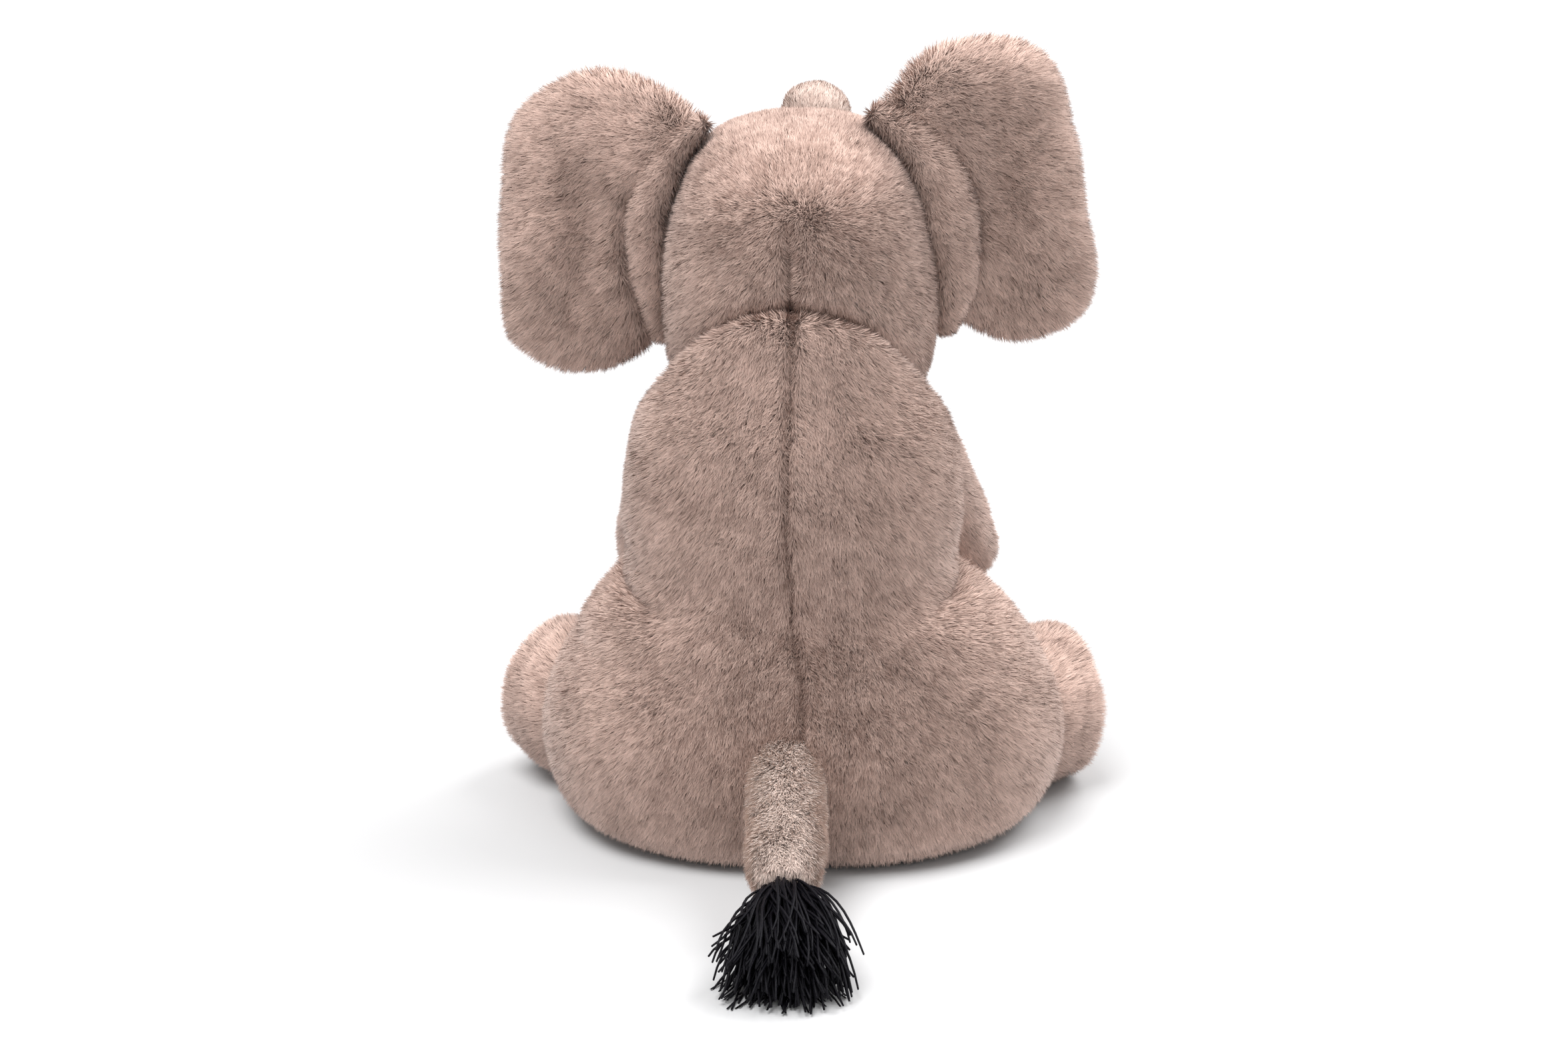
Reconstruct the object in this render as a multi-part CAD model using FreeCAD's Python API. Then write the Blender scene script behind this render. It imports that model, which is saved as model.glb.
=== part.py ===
"""Seated plush elephant: sewn fabric panels over stuffing, one solid per sewn piece.

Millimetres. The elephant faces -Y and sits on z = 0; +X is its own left side. The origin is on the
floor under the middle of the whole toy. Limbs meet the torso and the head in ball-ended soft seams.
"""
import FreeCAD, Part
import math
import os

V = FreeCAD.Vector

# ---- driving dimensions (mm) ----
SKIN = 2.4            # fabric with its flattened pile
SLACK = 0.4           # room between a skin and what it wraps
SEAM_GAP = 0.6        # room between two pieces that move on each other

HIP_CENTRE = V(0, 6, 36)
HIP_RADII = V(94, 58, 58)
CHEST_CENTRE = V(0, -2, 95)
CHEST_RADII = V(61, 54, 115)
BELLY_LINE_Y = -8     # side seam between the back panels and the belly panel
SEAT_HEIGHT = 9       # height of the seam round the seat panel

NECK_PIVOT = V(0, -4, 142)
NECK_RADIUS = 58
HEAD_CENTRE = V(-2, -24, 205)
HEAD_RADII = V(50, 56, 54)
EAR_SEAM_Y = -20      # plane of the seam that holds the ears

TRUNK_PIVOT = V(-2, -66, 192)
TRUNK_BASE_RADIUS = 21
TRUNK_TIP_RADIUS = 13
TRUNK_ROOT = 14       # straight length before the bend
TRUNK_BEND = 28       # radius of the centre line's upward bend
TRUNK_TILT = 8        # how far the bend leans to the elephant's right, degrees
TRUNK_TIP_RISE = 27   # straight length above the bend
TRUNK_ROOM = 14       # degrees of flare round the trunk's root

EYE_RADIUS = 5.5
EYE_SHANK_RADIUS = 1.7
EYE_SHANK_LENGTH = 9.0
WASHER_RADIUS = 6.0
WASHER_THICKNESS = 1.4
WASHER_CLEARANCE = 0.05
SHANK_CLEARANCE = 0.1
EYE_STAND = 0.5       # how far the eye's flat back stands off the face's surface
EYE_PLACE = (34, 38)  # angle out from the middle of the face and up from level, degrees

EAR_THICKNESS = 14
EAR_EDGE_INSET = 4    # how far the flat faces stop short of the seam round the ear
EAR_SWING = 22        # degrees each way
EAR_SLOT_REACH = 60   # how far the slot for an ear's root runs outwards
EAR_SLOT_SPARE = 12   # how far it runs past each end of the root
EAR_MIDDLE = (68, 217)

FRONT_LEG_PIVOT = V(42, -30, 132)
FRONT_LEG_RADIUS = 18
FRONT_LEG_LENGTH = 72
FRONT_LEG_ROOM = 9    # degrees of flare round the shoulder
FRONT_LEG_SWING = 35  # degrees that a front leg can be lifted forward

HIND_LEG_RADIUS = 26
HIND_LEG_LIFT = 4.5   # how far the ball end of a hind leg stays off the floor
HIND_LEG_PIVOT = V(50, -4, HIND_LEG_RADIUS + HIND_LEG_LIFT)
HIND_FOOT_RADIUS = 28.5
HIND_LEG_LENGTH = 58
HIND_LEG_ROOM = 13

SOLE_THICKNESS = 1.4
SOLE_RECESS = 1.2     # how deep a sole is let into the end of a leg
SOLE_OVERLAP = 2      # how far a sole runs on to the foot's rounding
FOOT_EDGE = 7         # radius of the rounding round a foot

TAIL_PIVOT = V(2, 54, 42)
TAIL_RADIUS = 12.5
TAIL_LENGTH = 76
TAIL_DROP = 15        # degrees below level
TAIL_ROOM = 24
TUFT_LENGTH = 40
TUFT_RADIUS = 22
TUFT_STEM_RADIUS = 6.0
BINDING_WALL = 1.6
BINDING_LENGTH = 5.0
BINDING_SETBACK = 8   # how far the binding starts inside the tail's end
TUFT_THROAT = 2.5     # how much the yarn swells just outside the binding
TUFT_WIDEST = 0.75    # share of its length where the tuft is widest
TUFT_END = 0.9        # its end's radius as a share of the widest
TUFT_FLOOR = 0.4      # how far the cut yarn stays off the floor

POUCH_CENTRE = V(0, 24, 22)
POUCH_RADII = V(32, 20, 15)
POUCH_WALL = 0.8

STITCH_RADIUS = 0.35
STITCH_LENGTH = 4.0
STITCH_COUNT = 24
STITCH_HEIGHTS = (108, 180)

# each side's own pose: splay of a front leg and a hind leg in degrees, and how much higher and
# further out one ear is sewn than the other
SIDES = {
    "left": {"sign": 1, "front_splay": 6, "hind_splay": 46, "ear_lift": 0, "ear_reach": 0},
    "right": {"sign": -1, "front_splay": 17, "hind_splay": 62, "ear_lift": 12, "ear_reach": 5},
}
FRONT_LEG_FORWARD = 32    # degrees that a front leg leans forward of straight down

FAR = 400
made = {}


def ellipsoid(centre, radii, shrink=0.0):
    """An ellipsoid, each radius less by shrink."""
    ball = Part.makeSphere(1.0)
    grow = FreeCAD.Matrix()
    grow.scale(radii.x - shrink, radii.y - shrink, radii.z - shrink)
    body = ball.transformGeometry(grow)
    body.translate(centre)
    return body


def slab(low, high):
    """A box between two corners."""
    return Part.makeBox(high.x - low.x, high.y - low.y, high.z - low.z, low)


def above(z):
    return slab(V(-FAR, -FAR, z), V(FAR, FAR, FAR))


def along(shape, start, direction):
    """Turns a shape made on the Z axis to run from start along direction."""
    turn = FreeCAD.Rotation(V(0, 0, 1), direction)
    shape.Placement = FreeCAD.Placement(start, turn).multiply(shape.Placement)
    return shape


def revolve(points):
    """A solid of revolution on the Z axis from (radius, z) points; a third number marks an arc's middle."""
    edges = []
    here = None
    middle = None
    for point in points:
        spot = V(point[0], 0, point[1])
        if len(point) == 3:
            middle = spot
            continue
        if here is not None:
            if middle is not None:
                edges.append(Part.Arc(here, middle, spot).toShape())
            else:
                edges.append(Part.LineSegment(here, spot).toShape())
        here = spot
        middle = None
    first = V(points[0][0], 0, points[0][1])
    if here.distanceToPoint(first) > 1e-6:
        edges.append(Part.LineSegment(here, first).toShape())
    face = Part.Face(Part.Wire(edges))
    return face.revolve(V(0, 0, 0), V(0, 0, 1), 360)


def socket(radius, room, length):
    """Keep-out round a ball-ended limb: the ball, then a cone that widens by room degrees each way."""
    lean = math.radians(room)
    reach = radius / math.cos(lean)
    touch_r = radius * math.cos(lean)
    touch_z = -radius * math.sin(lean)
    mid = (math.pi / 2 + lean) / 2
    mouth = reach + length * math.tan(lean)
    return revolve([
        (0, -radius),
        (radius * math.sin(mid), -radius * math.cos(mid), "arc"),
        (touch_r, touch_z),
        (mouth, length),
        (0, length),
    ])


def limb_outer(radius, end_radius, length, edge, inset=0.0):
    """Ball end at the origin, then a straight limb along Z that ends in a rounded, flat foot."""
    r1 = radius - inset
    r2 = end_radius - inset
    e = max(edge - inset, 1.0)
    end = length - inset
    mid = math.pi / 4
    return revolve([
        (0, -r1),
        (r1 * math.sin(mid), -r1 * math.cos(mid), "arc"),
        (r1, 0),
        (r2, end - e),
        (r2 - e + e * math.sin(mid), end - e + e * math.cos(mid), "arc"),
        (r2 - e, end),
        (0, end),
    ])


def keep(name, shape):
    """Writes one node's solid."""
    solids = shape.Solids
    if not solids:
        raise ValueError("no solid in " + name)
    body = solids[0] if len(solids) == 1 else Part.makeCompound(solids)
    made[name] = body
    body.exportStep("parts/" + name + ".step")


def largest(shape):
    """The biggest solid of a result, without the crumbs that a cut can leave."""
    return max(shape.Solids, key=lambda s: s.Volume)


# ---- limb frames ----
def mirror(point, sign):
    return V(point.x * sign, point.y, point.z)


def front_leg_frame(side, lift=0):
    s = SIDES[side]
    out = math.radians(s["front_splay"])
    fwd = math.radians(FRONT_LEG_FORWARD)
    direction = V(
        s["sign"] * math.sin(out),
        -math.cos(out) * math.sin(fwd),
        -math.cos(out) * math.cos(fwd),
    )
    direction = FreeCAD.Rotation(V(-1, 0, 0), lift).multVec(direction)
    return mirror(FRONT_LEG_PIVOT, s["sign"]), direction


def hind_leg_frame(side):
    s = SIDES[side]
    out = math.radians(s["hind_splay"])
    drop = math.asin((HIND_LEG_PIVOT.z - HIND_FOOT_RADIUS) / HIND_LEG_LENGTH)
    direction = V(
        s["sign"] * math.sin(out) * math.cos(drop),
        -math.cos(out) * math.cos(drop),
        -math.sin(drop),
    )
    return mirror(HIND_LEG_PIVOT, s["sign"]), direction


def tail_direction():
    drop = math.radians(TAIL_DROP)
    return V(0, math.cos(drop), -math.sin(drop))


def trunk_length():
    return TRUNK_ROOT + TRUNK_BEND * math.pi / 2 + TRUNK_TIP_RISE


def trunk_spine():
    """Centre and direction of the trunk at a share t of its length, 0 at the face and 1 at the tip."""
    lean = FreeCAD.Rotation(V(0, 1, 0), -TRUNK_TILT)

    def at(t):
        s = t * trunk_length() - TRUNK_ROOT
        a = min(max(s / TRUNK_BEND, 0), math.pi / 2)
        ahead = V(0, -math.cos(a), math.sin(a))
        place = V(0, -TRUNK_ROOT - TRUNK_BEND * math.sin(a), TRUNK_BEND * (1 - math.cos(a)))
        place = place + ahead * (s - a * TRUNK_BEND)
        return TRUNK_PIVOT + lean.multVec(place), lean.multVec(ahead)

    return at


# ---- sockets shared by the torso, the head and the limbs ----
def torso_keep_outs():
    cuts = []
    for side in SIDES:
        for step in range(3):
            pivot, direction = front_leg_frame(side, step * FRONT_LEG_SWING / 2)
            room = FRONT_LEG_RADIUS + SEAM_GAP + step * 0.1
            cuts.append(along(socket(room, FRONT_LEG_ROOM, 90), pivot, direction))
        pivot, direction = hind_leg_frame(side)
        cuts.append(along(socket(HIND_LEG_RADIUS + SEAM_GAP, HIND_LEG_ROOM, 90), pivot, direction))
    cuts.append(along(socket(TAIL_RADIUS + SEAM_GAP, TAIL_ROOM, 60), TAIL_PIVOT, tail_direction()))
    return cuts


def neck_ball(extra=0.0):
    return Part.makeSphere(NECK_RADIUS + extra, NECK_PIVOT)


def ear_axis(side):
    """Low end and direction of the line where an ear is sewn in."""
    s = SIDES[side]
    low = V(s["sign"] * 47, EAR_SEAM_Y, 174 + s["ear_lift"])
    high = V(s["sign"] * 30, EAR_SEAM_Y, 252 + s["ear_lift"] / 3)
    return low, high


# ---- torso ----
def torso_form(shrink):
    """The filled form of the torso, smaller by shrink all round."""
    hips = ellipsoid(HIP_CENTRE, HIP_RADII, shrink)
    chest = ellipsoid(CHEST_CENTRE, CHEST_RADII, shrink)
    form = hips.fuse(chest)
    form = form.common(above(shrink))
    cap = above(NECK_PIVOT.z).cut(neck_ball(-shrink))
    return form.cut(cap)


def make_torso():
    cuts = torso_keep_outs()
    skin = torso_form(0).cut(torso_form(SKIN)).cut(cuts)
    seat = slab(V(-FAR, -FAR, -1), V(FAR, FAR, SEAT_HEIGHT))
    front = slab(V(-FAR, -FAR, SEAT_HEIGHT), V(FAR, BELLY_LINE_Y, FAR))
    left = slab(V(0, BELLY_LINE_Y, SEAT_HEIGHT), V(FAR, FAR, FAR))
    right = slab(V(-FAR, BELLY_LINE_Y, SEAT_HEIGHT), V(0, FAR, FAR))
    keep("seat_panel", largest(skin.common(seat)))
    keep("belly_panel", largest(skin.common(front)))
    keep("back_panel_left", largest(skin.common(left)))
    keep("back_panel_right", largest(skin.common(right)))

    pouch = ellipsoid(POUCH_CENTRE, POUCH_RADII)
    room = ellipsoid(POUCH_CENTRE, POUCH_RADII, -SLACK)
    hollow = ellipsoid(POUCH_CENTRE, POUCH_RADII, POUCH_WALL)
    fill = ellipsoid(POUCH_CENTRE, POUCH_RADII, POUCH_WALL + SLACK)
    keep("body_stuffing", largest(torso_form(SKIN + SLACK).cut(cuts).cut(room)))
    keep("pellet_pouch", pouch.cut(hollow))
    keep("pellet_fill", fill)
    keep("closing_thread", closing_stitches())


def closing_stitches():
    """Short stitches across the centre seam of the back, in the middle of the skin."""
    stitches = []
    for i in range(STITCH_COUNT):
        z = STITCH_HEIGHTS[0] + (STITCH_HEIGHTS[1] - STITCH_HEIGHTS[0]) * i / (STITCH_COUNT - 1)
        share = (z - CHEST_CENTRE.z) / (CHEST_RADII.z - SKIN / 2)
        y = CHEST_CENTRE.y + (CHEST_RADII.y - SKIN / 2) * math.sqrt(1 - share * share)
        stitch = Part.makeCylinder(STITCH_RADIUS, STITCH_LENGTH)
        stitches.append(along(stitch, V(-STITCH_LENGTH / 2, y, z), V(1, 0, 0)))
    return Part.makeCompound(stitches)


# ---- head ----
def head_form(shrink):
    form = ellipsoid(HEAD_CENTRE, HEAD_RADII, shrink)
    return form.cut(neck_ball(SEAM_GAP + shrink))


def ear_slot(side):
    """The slot in the head that an ear's rounded root turns in, flared by the ear's swing."""
    low, high = ear_axis(side)
    axis = high - low
    length = axis.Length + 2 * EAR_SLOT_SPARE
    axis.normalize()
    start = low - axis * EAR_SLOT_SPARE
    radius = EAR_THICKNESS / 2 + SEAM_GAP
    lean = math.radians(EAR_SWING)
    root = Part.makeCylinder(radius, length)
    reach = EAR_SLOT_REACH
    wedge = Part.Face(Part.makePolygon([
        V(-radius * math.sin(lean), radius * math.cos(lean), 0),
        V(-radius * math.sin(lean), -radius * math.cos(lean), 0),
        V(reach, -radius * math.cos(lean) - (reach + radius * math.sin(lean)) * math.tan(lean), 0),
        V(reach, radius * math.cos(lean) + (reach + radius * math.sin(lean)) * math.tan(lean), 0),
        V(-radius * math.sin(lean), radius * math.cos(lean), 0),
    ])).extrude(V(0, 0, length))
    slot = root.fuse(wedge)
    sign = SIDES[side]["sign"]
    out = V(sign, 0, 0)
    out = (out - axis * out.dot(axis)).normalize()
    across = axis.cross(out)
    turn = FreeCAD.Matrix(
        out.x, across.x, axis.x, start.x,
        out.y, across.y, axis.y, start.y,
        out.z, across.z, axis.z, start.z,
        0, 0, 0, 1,
    )
    slot.Placement = FreeCAD.Placement(turn)
    return slot


def eye_frame(side):
    """A point on the face and the direction straight out of it there."""
    sign = SIDES[side]["sign"]
    out = math.radians(EYE_PLACE[0])
    up = math.radians(EYE_PLACE[1])
    ray = V(sign * math.sin(out) * math.cos(up), -math.cos(out) * math.cos(up), math.sin(up))
    radii = HEAD_RADII
    share = math.sqrt((ray.x / radii.x) ** 2 + (ray.y / radii.y) ** 2 + (ray.z / radii.z) ** 2)
    spot = HEAD_CENTRE + ray * (1 / share)
    away = spot - HEAD_CENTRE
    normal = V(away.x / radii.x ** 2, away.y / radii.y ** 2, away.z / radii.z ** 2).normalize()
    return spot, normal


def make_eye(side):
    """A domed eye on a shank through the skin, and the washer that locks it inside."""
    spot, normal = eye_frame(side)
    dome = Part.makeSphere(EYE_RADIUS).common(slab(V(-FAR, -FAR, 0), V(FAR, FAR, FAR)))
    shank = Part.makeCylinder(EYE_SHANK_RADIUS, EYE_SHANK_LENGTH, V(0, 0, -EYE_SHANK_LENGTH))
    eye = dome.fuse(shank)
    eye.translate(V(0, 0, EYE_STAND))
    keep("eye_" + side, along(eye, spot, normal))
    bore = EYE_SHANK_RADIUS + WASHER_CLEARANCE
    ring = Part.makeCylinder(WASHER_RADIUS, WASHER_THICKNESS)
    ring = ring.cut(Part.makeCylinder(bore, WASHER_THICKNESS))
    ring.translate(V(0, 0, -SKIN - SLACK - WASHER_THICKNESS))
    keep("eye_washer_" + side, along(ring, spot, normal))


def eye_room(side):
    """What the face gives up to an eye: the shank's hole, a seat for the dome, a pocket for the washer."""
    spot, normal = eye_frame(side)
    depth = EYE_SHANK_LENGTH + 1
    hole = Part.makeCylinder(EYE_SHANK_RADIUS + SHANK_CLEARANCE, 2 * depth, V(0, 0, -depth))
    seat = Part.makeCylinder(EYE_RADIUS + SLACK, depth, V(0, 0, SHANK_CLEARANCE))
    pocket_depth = depth - SKIN
    pocket = Part.makeCylinder(WASHER_RADIUS + SLACK, pocket_depth, V(0, 0, -SKIN - pocket_depth))
    return along(hole.fuse(seat), spot, normal), along(pocket, spot, normal)


def trunk_socket():
    at = trunk_spine()
    ahead = at(0)[1]
    return along(socket(TRUNK_BASE_RADIUS + SEAM_GAP, TRUNK_ROOM, 60), TRUNK_PIVOT, ahead)


def make_head():
    cuts = [ear_slot(side) for side in SIDES]
    cuts.append(trunk_socket())
    holes = []
    pockets = []
    for side in SIDES:
        hole, pocket = eye_room(side)
        holes.append(hole)
        pockets.append(pocket)
    skin = head_form(0).cut(head_form(SKIN)).cut(cuts + holes)
    back = slab(V(-FAR, EAR_SEAM_Y, -FAR), V(FAR, FAR, FAR))
    middle = HEAD_CENTRE.x
    face_left = slab(V(middle, -FAR, -FAR), V(FAR, EAR_SEAM_Y, FAR))
    face_right = slab(V(-FAR, -FAR, -FAR), V(middle, EAR_SEAM_Y, FAR))
    keep("head_back_panel", largest(skin.common(back)))
    keep("face_panel_left", largest(skin.common(face_left)))
    keep("face_panel_right", largest(skin.common(face_right)))
    keep("head_stuffing", largest(head_form(SKIN + SLACK).cut(cuts + holes + pockets)))
    for side in SIDES:
        make_eye(side)


# ---- trunk ----
def trunk_form(inset):
    """Ball end in the face, then a tapering tube that bends upwards."""
    at = trunk_spine()
    steps = 9
    rings = []
    for i in range(steps):
        t = i / (steps - 1) * (1 - inset / trunk_length())
        place, ahead = at(t)
        radius = TRUNK_BASE_RADIUS + (TRUNK_TIP_RADIUS - TRUNK_BASE_RADIUS) * t - inset
        rings.append(Part.Wire(Part.makeCircle(radius, place, ahead)))
    return Part.makeLoft(rings, True, False)


def make_trunk():
    ball = Part.makeSphere(TRUNK_BASE_RADIUS, TRUNK_PIVOT)
    at = trunk_spine()
    behind = along(Part.makeCylinder(60, 60), TRUNK_PIVOT, at(0)[1] * -1)
    skin = trunk_form(0).cut(trunk_form(SKIN))
    lean = FreeCAD.Rotation(V(0, 1, 0), -TRUNK_TILT)
    half = slab(V(0, -FAR, -FAR), V(FAR, FAR, FAR))
    half.Placement = FreeCAD.Placement(TRUNK_PIVOT, lean).multiply(half.Placement)
    keep("trunk_panel_left", largest(skin.common(half)))
    keep("trunk_panel_right", largest(skin.cut(half)))
    keep("trunk_stuffing", largest(ball.common(behind).fuse(trunk_form(SKIN + SLACK))))


# ---- ears ----
def ear_outline(side, inset):
    """The flat outline of an ear in its own plane: a straight sewn root and one broad rounded lobe."""
    s = SIDES[side]
    low, high = ear_axis(side)
    sign = s["sign"]
    centre = V(sign * EAR_MIDDLE[0], EAR_SEAM_Y, EAR_MIDDLE[1] + s["ear_lift"])
    knots = [
        (high.x * sign, high.z), (48, 266), (68, 270), (88, 263), (98, 244),
        (101, 218), (99, 192), (90, 173), (74, 165), (59, 169), (low.x * sign, low.z),
    ]
    points = []
    for i, (x, z) in enumerate(knots):
        free = 0 < i < len(knots) - 1
        rise = s["ear_lift"] if free else 0
        reach = s["ear_reach"] if free else 0
        points.append(V(sign * (x + reach), EAR_SEAM_Y, z + rise))
    pulled = []
    for p in points:
        away = p - centre
        pulled.append(p - away.normalize() * inset)
    curve = Part.BSplineCurve()
    curve.interpolate(pulled)
    root = Part.LineSegment(pulled[-1], pulled[0])
    return Part.Wire([curve.toShape(), root.toShape()])


def ear_half(side, way, inset, thickness):
    """Half an ear's thickness, from its middle plane towards way, with a sloped edge."""
    rim = ear_outline(side, inset)
    face = ear_outline(side, inset + EAR_EDGE_INSET)
    face.translate(V(0, way * thickness / 2, 0))
    return Part.makeLoft([rim, face], True, True)


def make_ear(side):
    inner = [ear_half(side, way, SKIN, EAR_THICKNESS - 2 * SKIN) for way in (-1, 1)]
    wad = [ear_half(side, way, SKIN + SLACK, EAR_THICKNESS - 2 * SKIN - 2 * SLACK) for way in (-1, 1)]
    for name, way in (("ear_back_", 1), ("ear_front_", -1)):
        half = ear_half(side, way, 0, EAR_THICKNESS)
        keep(name + side, largest(half.cut(inner)))
    keep("ear_wadding_" + side, largest(wad[0].fuse(wad[1])))


# ---- legs and tail ----
def make_leg(side, kind, frame, radius, foot_radius, length, names, split_axis):
    """A sewn leg: two skin halves, a sole pad on the end and the stuffing with its ball end."""
    pivot, direction = frame
    outer = limb_outer(radius, foot_radius, length, FOOT_EDGE)
    inner = limb_outer(radius, foot_radius, length, FOOT_EDGE, SKIN)
    filling = limb_outer(radius, foot_radius, length, FOOT_EDGE, SKIN + SLACK)
    behind = slab(V(-FAR, -FAR, -FAR), V(FAR, FAR, 0))
    sole_radius = foot_radius - FOOT_EDGE + SOLE_OVERLAP
    sole_base = length - SOLE_RECESS
    recess = Part.makeCylinder(sole_radius + SLACK, 2 * SOLE_THICKNESS, V(0, 0, sole_base))
    skin = outer.cut(inner).cut(behind).cut(recess)
    sole = Part.makeCylinder(sole_radius, SOLE_THICKNESS, V(0, 0, sole_base))
    ball = limb_outer(radius, foot_radius, length, FOOT_EDGE).common(behind)
    lip = slab(V(-FAR, -FAR, -FAR), V(FAR, FAR, sole_base - SLACK))
    stuffing = filling.cut(behind).fuse(ball).common(lip)
    turn = FreeCAD.Rotation(V(0, 0, 1), direction)
    side_way = turn.inverted().multVec(split_axis)
    side_way.z = 0
    half = slab(V(0, -FAR, -FAR), V(FAR, FAR, FAR))
    half.rotate(V(0, 0, 0), V(0, 0, 1), math.degrees(math.atan2(side_way.y, side_way.x)))
    pieces = {
        names[0]: skin.common(half),
        names[1]: skin.cut(half),
        kind + "_sole_": sole,
        kind + "_stuffing_": stuffing,
    }
    for name, shape in pieces.items():
        keep(name + side, along(largest(shape), pivot, direction))


def make_tail():
    """A sewn tube with a stuffed core, and yarn bound into its end."""
    direction = tail_direction()
    end = TAIL_LENGTH
    outer = revolve([(0, 0), (TAIL_RADIUS, 0), (TAIL_RADIUS, end), (0, end)])
    hollow = revolve([(0, -1), (TAIL_RADIUS - SKIN, -1), (TAIL_RADIUS - SKIN, end + 1), (0, end + 1)])
    keep("tail_panel", along(outer.cut(hollow), TAIL_PIVOT, direction))

    core_radius = TAIL_RADIUS - SKIN - SLACK
    core_end = end - BINDING_LENGTH - BINDING_SETBACK
    behind = slab(V(-FAR, -FAR, -FAR), V(FAR, FAR, 0))
    core = Part.makeSphere(TAIL_RADIUS).common(behind).fuse(Part.makeCylinder(core_radius, core_end))
    keep("tail_stuffing", along(largest(core), TAIL_PIVOT, direction))

    ring_radius = TUFT_STEM_RADIUS + SLACK / 2
    ring = Part.makeCylinder(ring_radius + BINDING_WALL, BINDING_LENGTH)
    ring = ring.cut(Part.makeCylinder(ring_radius, BINDING_LENGTH))
    ring.translate(V(0, 0, core_end + BINDING_WALL + SLACK))
    keep("tuft_binding", along(ring, TAIL_PIVOT, direction))

    stem_start = core_end + SLACK
    tuft = revolve([
        (0, stem_start),
        (TUFT_STEM_RADIUS, stem_start),
        (TUFT_STEM_RADIUS, end - TUFT_THROAT),
        (TUFT_STEM_RADIUS + TUFT_THROAT, end + TUFT_THROAT),
        (TUFT_RADIUS, end + TUFT_LENGTH * TUFT_WIDEST),
        (TUFT_RADIUS * TUFT_END, end + TUFT_LENGTH),
        (0, end + TUFT_LENGTH),
    ])
    tuft = along(tuft, TAIL_PIVOT, direction).common(above(TUFT_FLOOR))
    keep("tail_tuft", largest(tuft))


os.makedirs("parts", exist_ok=True)
make_torso()
make_head()
make_trunk()
for each_side in SIDES:
    make_ear(each_side)
    make_leg(
        each_side, "front_leg", front_leg_frame(each_side), FRONT_LEG_RADIUS, FRONT_LEG_RADIUS,
        FRONT_LEG_LENGTH, ("front_leg_outer_", "front_leg_inner_"), V(SIDES[each_side]["sign"], 0, 0),
    )
    make_leg(
        each_side, "hind_leg", hind_leg_frame(each_side), HIND_LEG_RADIUS, HIND_FOOT_RADIUS,
        HIND_LEG_LENGTH, ("hind_leg_upper_", "hind_leg_under_"), V(0, 0, 1),
    )
make_tail()

whole = Part.makeCompound(list(made.values())).BoundBox
print(len(made), "nodes", whole)
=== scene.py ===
import math

import bpy
import numpy as np
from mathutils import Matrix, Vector
from mathutils.bvhtree import BVHTree


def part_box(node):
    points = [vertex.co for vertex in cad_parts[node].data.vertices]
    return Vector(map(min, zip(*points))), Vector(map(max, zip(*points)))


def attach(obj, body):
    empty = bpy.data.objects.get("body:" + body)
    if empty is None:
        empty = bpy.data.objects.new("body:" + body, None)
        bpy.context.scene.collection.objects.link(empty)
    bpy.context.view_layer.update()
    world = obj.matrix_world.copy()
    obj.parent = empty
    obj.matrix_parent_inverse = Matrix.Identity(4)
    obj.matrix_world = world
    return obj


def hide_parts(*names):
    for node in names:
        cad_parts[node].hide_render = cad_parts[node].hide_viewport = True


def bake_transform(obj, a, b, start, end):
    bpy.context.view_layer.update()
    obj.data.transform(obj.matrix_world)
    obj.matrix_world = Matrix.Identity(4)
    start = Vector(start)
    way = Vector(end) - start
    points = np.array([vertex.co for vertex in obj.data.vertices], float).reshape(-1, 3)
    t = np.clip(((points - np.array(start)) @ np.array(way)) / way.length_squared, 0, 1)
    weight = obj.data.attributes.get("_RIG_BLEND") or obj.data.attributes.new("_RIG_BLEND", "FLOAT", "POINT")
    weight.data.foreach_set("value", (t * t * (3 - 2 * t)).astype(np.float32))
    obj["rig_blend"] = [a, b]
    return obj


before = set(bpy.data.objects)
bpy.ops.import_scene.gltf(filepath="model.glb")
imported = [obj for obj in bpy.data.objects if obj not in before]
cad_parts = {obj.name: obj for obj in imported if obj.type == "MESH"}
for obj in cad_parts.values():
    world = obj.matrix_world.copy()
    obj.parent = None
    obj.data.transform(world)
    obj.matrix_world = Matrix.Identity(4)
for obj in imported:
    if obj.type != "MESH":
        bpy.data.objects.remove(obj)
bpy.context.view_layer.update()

# ---- Torso ----
# Two back panels, a belly panel and a seat panel of cut-pile plush, sewn edge to edge and stuffed
# hard. The centre seam of the back is the last one closed, and the pile parts along it.
MM = 0.001
TORSO_RINGS = [  # height, then half width, depth behind, depth in front, and the middle's y, in mm
    (1.6, 44, 34, 30, 4), (1.6, 72, 57, 44, 4), (5, 81, 62, 48, 4), (14, 88, 65, 52, 4),
    (27, 92, 66, 53, 4), (40, 92, 65, 53, 4), (54, 88, 62, 52, 3.5), (68, 81, 58, 51.5, 3),
    (80, 74, 54, 51.5, 3), (90, 63.5, 51, 52, 3), (100, 57.5, 50, 52.5, 3),
    (118, 58.5, 50, 52.5, 2.5), (134, 57.5, 48.5, 50.5, 1.5), (150, 54.5, 45, 46.5, 1),
    (163, 49, 40, 41, 1.5), (175, 42.5, 34.5, 34, 4), (186, 36, 28, 26, 8),
    (194, 27, 20, 17, 12), (200, 12, 9, 7, 17),
]
BELLY_LINE_Y = -8
SEAT_SEAM_Z = 8
BACK_SEAM_X = 1
HIP_TOP_Z = 78
FLOOR_GAP = 1.2  # the least height of the seat's backing over the floor, in mm
NECK_OUT = np.array((0, -0.68, 0.73))  # the way out of the neck seam's plane
NECK_SEAM = 124.5  # the plane's distance from the origin, in mm
NECK_DIP = 8  # how far below the plane the seam runs at its two sides, in mm
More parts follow.
